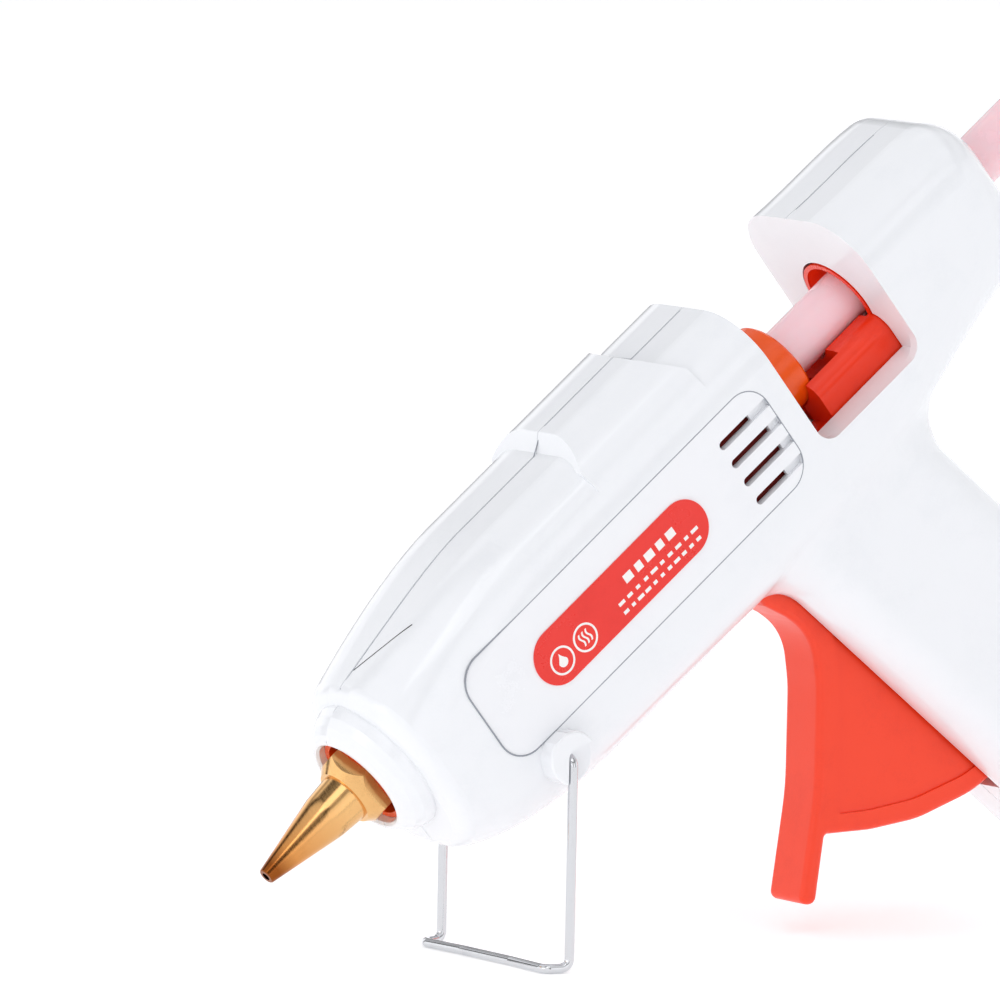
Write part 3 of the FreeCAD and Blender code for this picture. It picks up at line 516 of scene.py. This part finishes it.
# %% [markdown]
# ## Wire stand
# The stand is one plated wire: it turns into a socket on each side of the housing, runs down as two
# legs, and its cross bar is set forward of the legs so that it can't roll. The CAD sweep is a plain
# version of it. The wire tree draws it again with tighter bends and a slight set-back in the middle
# of the cross bar.

# %% Build the wire stand
STAND_PIN = (59.0, -18.0)
LEG_FOOT_X = 32.3
LEG_Y, SOCKET_Y = 23.4, 17.6
FLOOR_Z = -tip_place.z / MM
WIRE_HEIGHT = 1.0
BAR_INSET, BOW_HALF, BOW = 1.2, 9.0, 0.5


def foot_z(x, height):
    """Height above the barrel axis of a point that lies that far above the floor."""
    return (FLOOR_Z + height - x * math.sin(PITCH)) / math.cos(PITCH)


BAR_AHEAD = 5.0 * math.cos(PITCH)
bar_x = LEG_FOOT_X - BAR_AHEAD
stand_path = [
    gun(STAND_PIN[0], -SOCKET_Y, STAND_PIN[1]), gun(STAND_PIN[0], -LEG_Y, STAND_PIN[1]),
    gun(LEG_FOOT_X, -LEG_Y, foot_z(LEG_FOOT_X, WIRE_HEIGHT)),
    gun(bar_x, -LEG_Y + BAR_INSET, foot_z(bar_x, WIRE_HEIGHT)),
    gun(bar_x + BOW, -BOW_HALF, foot_z(bar_x + BOW, WIRE_HEIGHT)),
    gun(bar_x + BOW, BOW_HALF, foot_z(bar_x + BOW, WIRE_HEIGHT)),
    gun(bar_x, LEG_Y - BAR_INSET, foot_z(bar_x, WIRE_HEIGHT)),
    gun(LEG_FOOT_X, LEG_Y, foot_z(LEG_FOOT_X, WIRE_HEIGHT)),
    gun(STAND_PIN[0], LEG_Y, STAND_PIN[1]), gun(STAND_PIN[0], SOCKET_Y, STAND_PIN[1]),
]
stand = bake("stand_wire_bent", stand_path, chain(len(stand_path)), wire, {
    "Wire Radius": 0.99 * MM, "Bend Radius": 1.9 * MM, "Bend Steps": 12, "Sides": 28,
    "Material": chrome})
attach(stand, "stand")
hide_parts("stand_wire")

# %% [markdown]
# ## Return spring
# A torsion spring round the trigger's pivot pushes the trigger forward. A helix is a path, so the
# same wire tree sweeps it.

# %% Build the return spring
COIL_R, COIL_TURNS, COIL_PITCH = 5.35, 3.0, 1.2
COIL_Y = 8.6
COIL_START = math.radians(30)
STEPS_PER_TURN = 36
coil_path = []
for i in range(int(COIL_TURNS * STEPS_PER_TURN) + 1):
    turn = COIL_START + 2 * math.pi * i / STEPS_PER_TURN
    coil_path.append(gun(TRIGGER_PIN[0] + COIL_R * math.cos(turn),
                         COIL_Y + COIL_PITCH * i / STEPS_PER_TURN,
                         TRIGGER_PIN[1] + COIL_R * math.sin(turn)))
spring = bake("return_spring_coil", coil_path, chain(len(coil_path)), wire, {
    "Wire Radius": 0.48 * MM, "Bend Radius": 0.0, "Bend Steps": 1, "Sides": 14, "Material": steel})
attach(spring, "trigger")
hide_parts("return_spring")

# %% [markdown]
# ## Painted shade round the side panels
# Each side panel sits in a shallow pocket, and the gap round it lies in shade as a thin grey line. That
# shade is painted: a grey bead follows the panel's rounded outline, sunk so that only its top shows.

# %% Build the painted shade in the panel gaps
PANEL = (49.42, 139.58, -12.68, 11.68)
PANEL_CORNER = 6.08
SIDE_Y = 20.0
BEAD_R, BEAD_SUNK = 0.17, 0.12


def rounded_outline(x0, x1, z0, z1, corner, steps):
    """Points (x, z) round a rectangle with rounded corners."""
    points = []
    for cx, cz, start in ((x1 - corner, z1 - corner, 0), (x0 + corner, z1 - corner, 90),
                          (x0 + corner, z0 + corner, 180), (x1 - corner, z0 + corner, 270)):
        for i in range(steps + 1):
            a = math.radians(start + 90 * i / steps)
            points.append((cx + corner * math.cos(a), cz + corner * math.sin(a)))
    return points


outline = rounded_outline(*PANEL, PANEL_CORNER, 12)
for side_name, side in (("left", -1), ("right", 1)):
    line_path = [gun(x, side * (SIDE_Y - BEAD_SUNK), z) for x, z in outline]
    # The grey bead is painted shade in the gap round the panel.
    panel_gap_shade = bake(side_name + "_panel_line", line_path, chain(len(line_path), True), wire, {
        "Wire Radius": BEAD_R * MM, "Bend Radius": 0.0, "Bend Steps": 1, "Sides": 8,
        "Material": gap_shade_grey})
    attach(panel_gap_shade, "housing")

# %% [markdown]
# ## Painted shade in the front crease
# A fine black line of painted shade runs over the nose from the joint of the two shells, where a crease
# lies in shade. It has to follow the crowned surface, so its points are found by casting rays down on
# to the shell, and the wire tree lays a thin bead along them, sunk halfway.

# %% Build the painted crease shade
CREASE_FROM, CREASE_TO = (40.6, -0.5), (53.2, -8.6)
CREASE_POINTS = 16
CREASE_R, CREASE_SUNK = 0.2, 0.6
RAY_FROM = 40
shell_mesh = nodes["left_shell"].data
shell_tree = BVHTree.FromPolygons([v.co for v in shell_mesh.vertices],
                                  [p.vertices[:] for p in shell_mesh.polygons])
crease_path = []
for i in range(CREASE_POINTS):
    share = i / (CREASE_POINTS - 1)
    x = CREASE_FROM[0] + (CREASE_TO[0] - CREASE_FROM[0]) * share
    y = CREASE_FROM[1] + (CREASE_TO[1] - CREASE_FROM[1]) * share
    hit = shell_tree.ray_cast(gun(x, y, RAY_FROM), -above)[0]
    crease_path.append(hit - above * CREASE_R * CREASE_SUNK * MM)
crease = bake("front_crease", crease_path, chain(CREASE_POINTS), wire, {
    "Wire Radius": CREASE_R * MM, "Bend Radius": 0.0, "Bend Steps": 1, "Sides": 8,
    "Material": switch_black})
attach(crease, "housing")

# %% [markdown]
# ## Painted shade in the seam between the shells
# The two halves of the housing meet in the middle, and the joint lies in shade as a fine grey line
# along the top; a grey bead paints that shade. Rays cast down beside the middle find the surface, so
# the line follows the hood, and the guide's mouth is skipped because the line ends at its edges.

# %% Build the painted seam shade
SEAM_R, SEAM_Y, SEAM_STEP, SEAM_SUNK = 0.13, -0.3, 3.0, 0.5
SEAM_RUNS = ((36.0, 144.0), (178.0, 204.0))
for part_index, (seam_from, seam_to) in enumerate(SEAM_RUNS):
    seam_count = int((seam_to - seam_from) / SEAM_STEP) + 1
    seam_path = []
    for i in range(seam_count):
        hit = shell_tree.ray_cast(gun(seam_from + SEAM_STEP * i, SEAM_Y, RAY_FROM), -above)[0]
        if hit:
            seam_path.append(hit - above * SEAM_R * SEAM_SUNK * MM)
    # The grey bead is painted shade in the joint.
    seam = bake("seam_line_%d" % (part_index + 1), seam_path, chain(len(seam_path)), wire, {
        "Wire Radius": SEAM_R * MM, "Bend Radius": 0.0, "Bend Steps": 1, "Sides": 8,
        "Material": gap_shade_grey})
    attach(seam, "housing")

# %% [markdown]
# ## Housing screws
# Seven pan-head screws hold the two shells together from the right-hand side. They are the same screw
# seven times, so one is modelled with a domed head, a cross recess and a threaded shank, and a tree
# puts a copy at each boss with its own turn, as screws are never left lined up.

# %% Model one screw
HEAD_R, HEAD_H, SHANK_R, SHANK_L = 2.85, 2.1, 1.36, 20.3
RECESS_L, RECESS_W, RECESS_D = 1.75, 0.42, 1.1
THREAD_STEP, THREAD_ROOT, SHANK_OVERLAP = 0.9, 0.8, 0.3
TAPER, CUT_ABOVE = 0.6, 0.4
screw_profile = [(0.0, 0.0), (HEAD_R * 0.96, 0.0), (HEAD_R, 0.25), (HEAD_R, 0.9), (HEAD_R * 0.93, 1.4),
                 (HEAD_R * 0.75, 1.8), (HEAD_R * 0.5, 2.0), (0.0, HEAD_H)]
HEAD_SIDES = 40
screw_bm = bmesh.new()
rings = []
for r, h in screw_profile:
    if r == 0.0:
        rings.append([screw_bm.verts.new((0, 0, h * MM))])
        continue
    rings.append([screw_bm.verts.new((r * MM * math.cos(2 * math.pi * i / HEAD_SIDES),
                                      r * MM * math.sin(2 * math.pi * i / HEAD_SIDES), h * MM))
                  for i in range(HEAD_SIDES)])
for low, high in zip(rings, rings[1:]):
    for i in range(HEAD_SIDES):
        j = (i + 1) % HEAD_SIDES
        corners = ([low[0], high[j], high[i]] if len(low) == 1 else
                   [low[i], low[j], high[0]] if len(high) == 1 else [low[i], low[j], high[j], high[i]])
        screw_bm.faces.new(corners)
head_mesh = bpy.data.meshes.new("screw_head")
screw_bm.to_mesh(head_mesh)
screw_bm.free()
head = bpy.data.objects.new("screw_head", head_mesh)
bpy.context.scene.collection.objects.link(head)


def cutter(name, length, width, depth):
    """A bar that sinks into the top of the screw head, narrower at its bottom."""
    bm = bmesh.new()
    bmesh.ops.create_cube(bm, size=1.0)
    for v in bm.verts:
        taper = TAPER if v.co.z < 0 else 1.0
        v.co = Vector((v.co.x * 2 * length * taper, v.co.y * 2 * width * taper,
                       HEAD_H - depth / 2 + v.co.z * depth + (CUT_ABOVE if v.co.z > 0 else 0))) * MM
    mesh = bpy.data.meshes.new(name)
    bm.to_mesh(mesh)
    bm.free()
    bar = bpy.data.objects.new(name, mesh)
    bpy.context.scene.collection.objects.link(bar)
    return bar


cutters = [cutter("recess_long", RECESS_L, RECESS_W, RECESS_D),
           cutter("recess_cross", RECESS_W, RECESS_L, RECESS_D)]
for bar in cutters:
    carve = head.modifiers.new(bar.name, "BOOLEAN")
    carve.operation = "DIFFERENCE"
    carve.solver = "EXACT"
    carve.object = bar
carved = bpy.data.meshes.new_from_object(head.evaluated_get(bpy.context.evaluated_depsgraph_get()))
for spent in cutters + [head]:
    bpy.data.objects.remove(spent)
screw_bm = bmesh.new()
screw_bm.from_mesh(carved)
thread_rings = []
thread_count = int(SHANK_L / THREAD_STEP * 2)
SHANK_SIDES = 20
for k in range(thread_count + 1):
    r = SHANK_R if k % 2 == 0 else SHANK_R * THREAD_ROOT
    z = SHANK_OVERLAP - SHANK_L * k / thread_count
    thread_rings.append([screw_bm.verts.new((r * MM * math.cos(2 * math.pi * i / SHANK_SIDES),
                                             r * MM * math.sin(2 * math.pi * i / SHANK_SIDES), z * MM))
                         for i in range(SHANK_SIDES)])
for low, high in zip(thread_rings, thread_rings[1:]):
    for i in range(SHANK_SIDES):
        j = (i + 1) % SHANK_SIDES
        screw_bm.faces.new([low[i], low[j], high[j], high[i]])
screw_bm.faces.new(thread_rings[0])
screw_bm.faces.new(list(reversed(thread_rings[-1])))
bmesh.ops.recalc_face_normals(screw_bm, faces=screw_bm.faces)
screw_bm.to_mesh(carved)
screw_bm.free()
screw = bpy.data.objects.new("screw_master", carved)
bpy.context.scene.collection.objects.link(screw)
print("one screw, faces:", len(carved.polygons))

# %% Scatter tree and the seven screws
# One copy of an object on each guide point, laid over by a fixed angle and spun by a seeded one.
scatter, s_in, s_out = geometry_tree("screws_on_bosses", [
    ("Screw", "NodeSocketObject", None), ("Tilt", "NodeSocketFloat", 0.0),
    ("Spin Seed", "NodeSocketInt", 3)])
copy_of = scatter.nodes.new("GeometryNodeObjectInfo")
copy_of.inputs["As Instance"].default_value = True
spin = scatter.nodes.new("FunctionNodeRandomValue")
spin.data_type = "FLOAT"
spin_low, spin_high = spin.inputs[2], spin.inputs[3]
spin_low.default_value, spin_high.default_value = 0.0, math.pi
spin_angle = scatter.nodes.new("ShaderNodeCombineXYZ")
lay = scatter.nodes.new("ShaderNodeCombineXYZ")
turn_over = scatter.nodes.new("FunctionNodeRotateEuler")
turn_over.rotation_type = "EULER"
turn_over.space = "OBJECT"
placed = scatter.nodes.new("GeometryNodeInstanceOnPoints")
scatter.links.new(s_in.outputs["Screw"], copy_of.inputs["Object"])
scatter.links.new(s_in.outputs["Spin Seed"], spin.inputs["Seed"])
scatter.links.new(spin.outputs[1], spin_angle.inputs["Z"])
scatter.links.new(s_in.outputs["Tilt"], lay.inputs["X"])
scatter.links.new(spin_angle.outputs[0], turn_over.inputs["Rotation"])
scatter.links.new(lay.outputs[0], turn_over.inputs["Rotate By"])
scatter.links.new(s_in.outputs["Geometry"], placed.inputs["Points"])
scatter.links.new(copy_of.outputs["Geometry"], placed.inputs["Instance"])
scatter.links.new(turn_over.outputs[0], placed.inputs["Rotation"])
end_tree(scatter, placed.outputs["Instances"], s_in, s_out, False)

# The grip's front edge runs through GRIP_TOP, raked back by RAKE.
GRIP_TOP, RAKE = (130.6, -58.0), math.radians(12.4)
down_grip = along * math.sin(RAKE) - above * math.cos(RAKE)
back_grip = along * math.cos(RAKE) + above * math.sin(RAKE)


def grip(s, b, y):
    """Millimetres down the front edge of the grip, back across it and across the gun."""
    return gun(GRIP_TOP[0], y, GRIP_TOP[1]) + (down_grip * s + back_grip * b) * MM


SCREW_SEAT = 9.0
BARREL_SCREWS = ((47.0, -20.6), (106.0, -22.9), (62.0, 16.6), (132.0, 17.2), (201.5, -12.7))
GRIP_SCREWS = ((14, 38), (78, 36))
screw_places = [gun(x, SCREW_SEAT, z) for x, z in BARREL_SCREWS]
screw_places += [grip(s, b, SCREW_SEAT) for s, b in GRIP_SCREWS]
screws = bake("housing_screws_cut", screw_places, [], scatter, {
    "Screw": screw, "Tilt": -math.pi / 2, "Spin Seed": 3, "Material": steel})
bpy.data.objects.remove(screw)
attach(screws, "housing")
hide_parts("housing_screws")
print("screw heads face +y:", round(max(v.co.y for v in screws.data.vertices) * 1000, 2))

# %% [markdown]
# ## Printed label
# The red label carries white print. Real print would be a picture or lettering, and neither belongs on
# this part, so rows of plain strokes of uneven length stand for it, with two round icons: a glue drop
# and rising heat. The strokes repeat along a row, so a tree makes them. The print is a real layer, a
# few hundredths of a millimetre thick.

# %% Stroke tree
strokes, t_in, t_out = geometry_tree("printed_strokes", [
    ("Length Low", "NodeSocketFloat", 0.001), ("Length High", "NodeSocketFloat", 0.002),
    ("Height", "NodeSocketFloat", 0.001), ("Thickness", "NodeSocketFloat", 0.0001),
    ("Slant", "NodeSocketFloat", 0.0), ("Seed", "NodeSocketInt", 1)])
block = strokes.nodes.new("GeometryNodeMeshCube")
uneven = strokes.nodes.new("FunctionNodeRandomValue")
uneven.data_type = "FLOAT"
size = strokes.nodes.new("ShaderNodeCombineXYZ")
slant = strokes.nodes.new("ShaderNodeCombineXYZ")
stamped = strokes.nodes.new("GeometryNodeInstanceOnPoints")
strokes.links.new(t_in.outputs["Length Low"], uneven.inputs[2])
strokes.links.new(t_in.outputs["Length High"], uneven.inputs[3])
strokes.links.new(t_in.outputs["Seed"], uneven.inputs["Seed"])
strokes.links.new(uneven.outputs[1], size.inputs["X"])
strokes.links.new(t_in.outputs["Thickness"], size.inputs["Y"])
strokes.links.new(t_in.outputs["Height"], size.inputs["Z"])
strokes.links.new(t_in.outputs["Slant"], slant.inputs["Y"])
strokes.links.new(t_in.outputs["Geometry"], stamped.inputs["Points"])
strokes.links.new(block.outputs["Mesh"], stamped.inputs["Instance"])
strokes.links.new(slant.outputs[0], stamped.inputs["Rotation"])
strokes.links.new(size.outputs[0], stamped.inputs["Scale"])
end_tree(strokes, stamped.outputs["Instances"], t_in, t_out, False)

# %% Print the rows
LABEL_Y = -20.25
PRINT_T = 0.08
ROWS = (  # first stroke, step, count, height above the axis, stroke height, shortest, longest, seed
    (92.6, 3.2, 5, 0.3, 1.9, 1.7, 2.5, 4), (88.2, 2.45, 10, -2.9, 0.75, 1.0, 1.95, 7),
    (88.0, 2.2, 11, -5.0, 0.75, 0.9, 1.75, 9))
for row_index, (start, step, count, z, tall, short, long, seed) in enumerate(ROWS):
    points = [gun(start + step * i, LABEL_Y, z) for i in range(count)]
    row = bake("label_row_%d" % (row_index + 1), points, [], strokes, {
        "Length Low": short * MM, "Length High": long * MM, "Height": tall * MM,
        "Thickness": PRINT_T * MM, "Slant": -PITCH, "Seed": seed, "Material": print_white})
    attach(row, "housing")


# %% Draw the two icons
def plate(bm, rings_xz, centre):
    """Closed flat layer from an outline, or from an outline and a hole with as many points."""
    def at(x, z, y):
        return bm.verts.new(gun(centre[0] + x, y, centre[1] + z))
    near, far = LABEL_Y - PRINT_T / 2, LABEL_Y + PRINT_T / 2
    fronts = [[at(x, z, near) for x, z in ring] for ring in rings_xz]
    backs = [[at(x, z, far) for x, z in ring] for ring in rings_xz]
    count = len(rings_xz[0])
    for front, back in zip(fronts, backs):
        for i in range(count):
            j = (i + 1) % count
            bm.faces.new([front[i], front[j], back[j], back[i]])
    if len(rings_xz) == 1:
        bm.faces.new(fronts[0])
        bm.faces.new(list(reversed(backs[0])))
        return
    for layer in (fronts, backs):
        for i in range(count):
            j = (i + 1) % count
            bm.faces.new([layer[0][i], layer[0][j], layer[1][j], layer[1][i]])


def circle(radius, count=48):
    """Points round a circle."""
    return [(radius * math.cos(2 * math.pi * i / count), radius * math.sin(2 * math.pi * i / count))
            for i in range(count)]


DROP_PINCH = 0.85
WAVE_SWAY = 0.28


def drop(radius, peak, count=40):
    """A glue drop that hangs down from its peak."""
    points = []
    for x, z in circle(radius, count):
        pull = max(0.0, z / radius)
        points.append((x * (1 - DROP_PINCH * pull ** 1.5), z + (peak - radius) * pull ** 3))
    return points


def wave(x_shift, height, width, count=14):
    """A wavy upright stroke that stands for rising heat."""
    def sway(t):
        return x_shift + WAVE_SWAY * math.sin(2 * math.pi * t)
    up = [(sway(i / count) - width / 2, (i / count - 0.5) * height) for i in range(count + 1)]
    return up + [(x + width, z) for x, z in reversed(up)]


icon_bm = bmesh.new()
ICON_Z = -2.5
ICONS_X = (70.5, 77.4)
RING_OUT, RING_IN = 3.0, 2.55
DROP_R, DROP_PEAK, DROP_LOWER = 1.15, 2.0, 0.3
WAVES, WAVE_TALL, WAVE_WIDE = (-1.0, 0.0, 1.0), 2.9, 0.42
for icon_x in ICONS_X:
    plate(icon_bm, [circle(RING_OUT), circle(RING_IN)], (icon_x, ICON_Z))
plate(icon_bm, [drop(DROP_R, DROP_PEAK)], (ICONS_X[0], ICON_Z - DROP_LOWER))
for shift in WAVES:
    plate(icon_bm, [wave(shift, WAVE_TALL, WAVE_WIDE)], (ICONS_X[1], ICON_Z))
icon_mesh = bpy.data.meshes.new("label_icons")
icon_bm.to_mesh(icon_mesh)
icon_bm.free()
outward(icon_mesh)
icon_mesh.materials.append(print_white)
icons = bpy.data.objects.new("label_icons", icon_mesh)
bpy.context.scene.collection.objects.link(icons)
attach(icons, "housing")
print("label_icons faces:", len(icon_mesh.polygons))

# %% [markdown]
# ## Painted shade behind the vents
# Through the four vents the insides show dark red in shade. A ribbed dark red sheet behind them paints
# that shade, standing off from the side wall. It is built as a profile with its ribs, one sheet for
# each side.

# %% Build the painted shade sheets behind the vents
SHADE_SHEET_X, SHADE_SHEET_Z = (122.0, 141.0), (-11.0, 8.0)
SHADE_SHEET_Y, SHADE_SHEET_T, RIB_H, RIB_STEP = 16.0, 0.5, 0.55, 1.6


def ribbed_sheet(name, side):
    """A dark sheet of painted shade that stands across the gun, ribbed along the barrel on its outer
    face.
    """
    bm = bmesh.new()
    rows = int((SHADE_SHEET_Z[1] - SHADE_SHEET_Z[0]) / RIB_STEP * 4)
    outer, inner = [], []
    for k in range(rows + 1):
        z = SHADE_SHEET_Z[0] + (SHADE_SHEET_Z[1] - SHADE_SHEET_Z[0]) * k / rows
        rib = RIB_H if k % 4 in (1, 2) else 0.0
        for store, y in ((outer, SHADE_SHEET_Y + rib), (inner, SHADE_SHEET_Y - SHADE_SHEET_T)):
            store.append([bm.verts.new(gun(x, side * y, z)) for x in SHADE_SHEET_X])
    for store in (outer, inner):
        for low, high in zip(store, store[1:]):
            bm.faces.new([low[0], low[1], high[1], high[0]])
    for end in (0, 1):
        for k in range(rows):
            bm.faces.new([outer[k][end], outer[k + 1][end], inner[k + 1][end], inner[k][end]])
    for k in (0, rows):
        bm.faces.new([outer[k][0], outer[k][1], inner[k][1], inner[k][0]])
    mesh = bpy.data.meshes.new(name)
    bmesh.ops.recalc_face_normals(bm, faces=bm.faces)
    bm.to_mesh(mesh)
    bm.free()
    # The dark red here is painted shade for the insides seen through the vents.
    mesh.materials.append(silicone_red)
    sheet = bpy.data.objects.new(name, mesh)
    bpy.context.scene.collection.objects.link(sheet)
    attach(sheet, "housing")
    print(name, "faces:", len(mesh.polygons))


ribbed_sheet("left_heat_shield", -1)
ribbed_sheet("right_heat_shield", 1)

# %% [markdown]
# ## Cord gland ribs
# The cord leaves the heel of the grip through a rubber gland, and rings round it let it bend. The ring
# is the same one several times along a line, so a tree repeats it, leaning with the grip.

# %% Ring tree and gland ribs
ringed, g_in, g_out = geometry_tree("gland_rings", [
    ("Ring Radius", "NodeSocketFloat", 0.005), ("Bead Radius", "NodeSocketFloat", 0.0005),
    ("Lean", "NodeSocketFloat", 0.0)])
loop = ringed.nodes.new("GeometryNodeCurvePrimitiveCircle")
loop.inputs["Resolution"].default_value = 64
bead = ringed.nodes.new("GeometryNodeCurvePrimitiveCircle")
bead.inputs["Resolution"].default_value = 12
tube = ringed.nodes.new("GeometryNodeCurveToMesh")
leaning = ringed.nodes.new("ShaderNodeCombineXYZ")
repeated = ringed.nodes.new("GeometryNodeInstanceOnPoints")
ringed.links.new(g_in.outputs["Ring Radius"], loop.inputs["Radius"])
ringed.links.new(g_in.outputs["Bead Radius"], bead.inputs["Radius"])
ringed.links.new(loop.outputs["Curve"], tube.inputs["Curve"])
ringed.links.new(bead.outputs["Curve"], tube.inputs["Profile Curve"])
ringed.links.new(g_in.outputs["Lean"], leaning.inputs["Y"])
ringed.links.new(g_in.outputs["Geometry"], repeated.inputs["Points"])
ringed.links.new(tube.outputs["Mesh"], repeated.inputs["Instance"])
ringed.links.new(leaning.outputs[0], repeated.inputs["Rotation"])
end_tree(ringed, repeated.outputs["Instances"], g_in, g_out, True)

GLAND_R, RIB_R = 5.1, 0.45
FIRST_RING, RING_STEP, RING_COUNT = 1.6, 1.25, 4
cord_exit = Vector(frame["record"]["mounts"][1]["pos_m"])
gland_top = cord_exit + down_grip * FIRST_RING * MM
gland_rings = [gland_top + down_grip * RING_STEP * i * MM for i in range(RING_COUNT)]
lean_angle = math.atan2(down_grip.x, down_grip.z)
ribs = bake("cord_gland_rings", gland_rings, [], ringed, {
    "Ring Radius": GLAND_R * MM, "Bead Radius": RIB_R * MM, "Lean": lean_angle,
    "Material": black_rubber})
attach(ribs, "housing")

# %% [markdown]
# ## Floor, sky and lights
# The gun stands on a white ground. A pale floor under a nearly white sky gives that ground, and the
# sky's few dark bands give the brass and the plated wire something to reflect. The floor glows a
# little of its own, as a lit white table does. Soft lights from the front left and above shape the
# white housing.

# %% Floor
FLOOR_HALF = 9
floor_mesh = bpy.data.meshes.new("floor")
floor_corners = [(x * FLOOR_HALF, y * FLOOR_HALF, 0) for x, y in ((-1, -1), (1, -1), (1, 1), (-1, 1))]
floor_mesh.from_pydata(floor_corners, [], [(0, 1, 2, 3)])
floor = bpy.data.objects.new("floor", floor_mesh)
bpy.context.scene.collection.objects.link(floor)
floor_white = bpy.data.materials.new("floor_white")
floor_white.use_nodes = True
floor_shader = floor_white.node_tree.nodes["Principled BSDF"]
floor_shader.inputs["Base Color"].default_value = (0.96, 0.96, 0.965, 1)
floor_shader.inputs["Roughness"].default_value = 1.0
floor_shader.inputs["Specular IOR Level"].default_value = 0.0
floor_shader.inputs["Emission Color"].default_value = (1.0, 1.0, 1.0, 1)
floor_shader.inputs["Emission Strength"].default_value = 0.30
floor_mesh.materials.append(floor_white)
print("floor laid")

# %% Sky
world = bpy.data.worlds.new("studio")
bpy.context.scene.world = world
world.use_nodes = True
sky_tree = world.node_tree
background = sky_tree.nodes["Background"]
looked_at = add(sky_tree, "ShaderNodeTexCoord").outputs["Generated"]
parts_of = add(sky_tree, "ShaderNodeSeparateXYZ")
sky_tree.links.new(looked_at, parts_of.inputs[0])


def sky_ramp(source, stops):
    """A grey ramp over one direction of the sky."""
    ramp_node = add(sky_tree, "ShaderNodeValToRGB")
    sky_tree.links.new(spread(sky_tree, source, -1.0, 1.0), ramp_node.inputs["Fac"])
    elements = ramp_node.color_ramp.elements
    while len(elements) > 1:
        elements.remove(elements[-1])
    for i, (place, grey) in enumerate(stops):
        element = elements[0] if i == 0 else elements.new(place)
        element.position = place
        element.color = (grey, grey, grey * 1.01, 1)
    return ramp_node.outputs["Color"]


upright = sky_ramp(parts_of.outputs["Z"], ((0.0, 0.9), (0.5, 0.85), (0.56, 1.0), (0.66, 0.95),
                                           (0.74, 0.82), (0.77, 0.35), (0.81, 0.35), (0.84, 0.72),
                                           (1.0, 0.62)))
sideways = sky_ramp(parts_of.outputs["X"], ((0.0, 1.0), (0.24, 1.0), (0.27, 0.12), (0.33, 0.12),
                                            (0.36, 1.0), (0.62, 1.0), (0.66, 0.12), (0.73, 0.12),
                                            (0.77, 0.95), (1.0, 0.9)))
both = add(sky_tree, "ShaderNodeMix", data_type="RGBA", blend_type="MULTIPLY")
both.inputs[0].default_value = 1.0
sky_tree.links.new(upright, both.inputs[6])
sky_tree.links.new(sideways, both.inputs[7])
sky_tree.links.new(both.outputs[2], background.inputs["Color"])
background.inputs["Strength"].default_value = 1.36
bpy.context.scene.view_settings.view_transform = "Standard"
print("sky strength:", background.inputs["Strength"].default_value)


# %% Soft lights
GUN_MIDDLE = (-0.02, 0, 0.09)


def soft_light(name, place, size_m, watts):
    """A square soft light aimed at the middle of the gun."""
    lamp = bpy.data.lights.new(name, "AREA")
    lamp.energy = watts
    lamp.size = size_m
    holder = bpy.data.objects.new(name, lamp)
    holder.location = place
    aim = Vector(place) - Vector(GUN_MIDDLE)
    holder.rotation_euler = aim.to_track_quat("Z", "Y").to_euler()
    bpy.context.scene.collection.objects.link(holder)


LIGHTS = (  # name, place, side in metres, watts
    ("key", (-0.9, -0.9, 1.6), 0.8, 3.2), ("side", (-1.5, -0.2, 0.5), 0.5, 1.2),
    ("top", (0.4, 0.3, 1.8), 1.0, 2.0))
for light_values in LIGHTS:
    soft_light(*light_values)
print("lights:", len(LIGHTS))
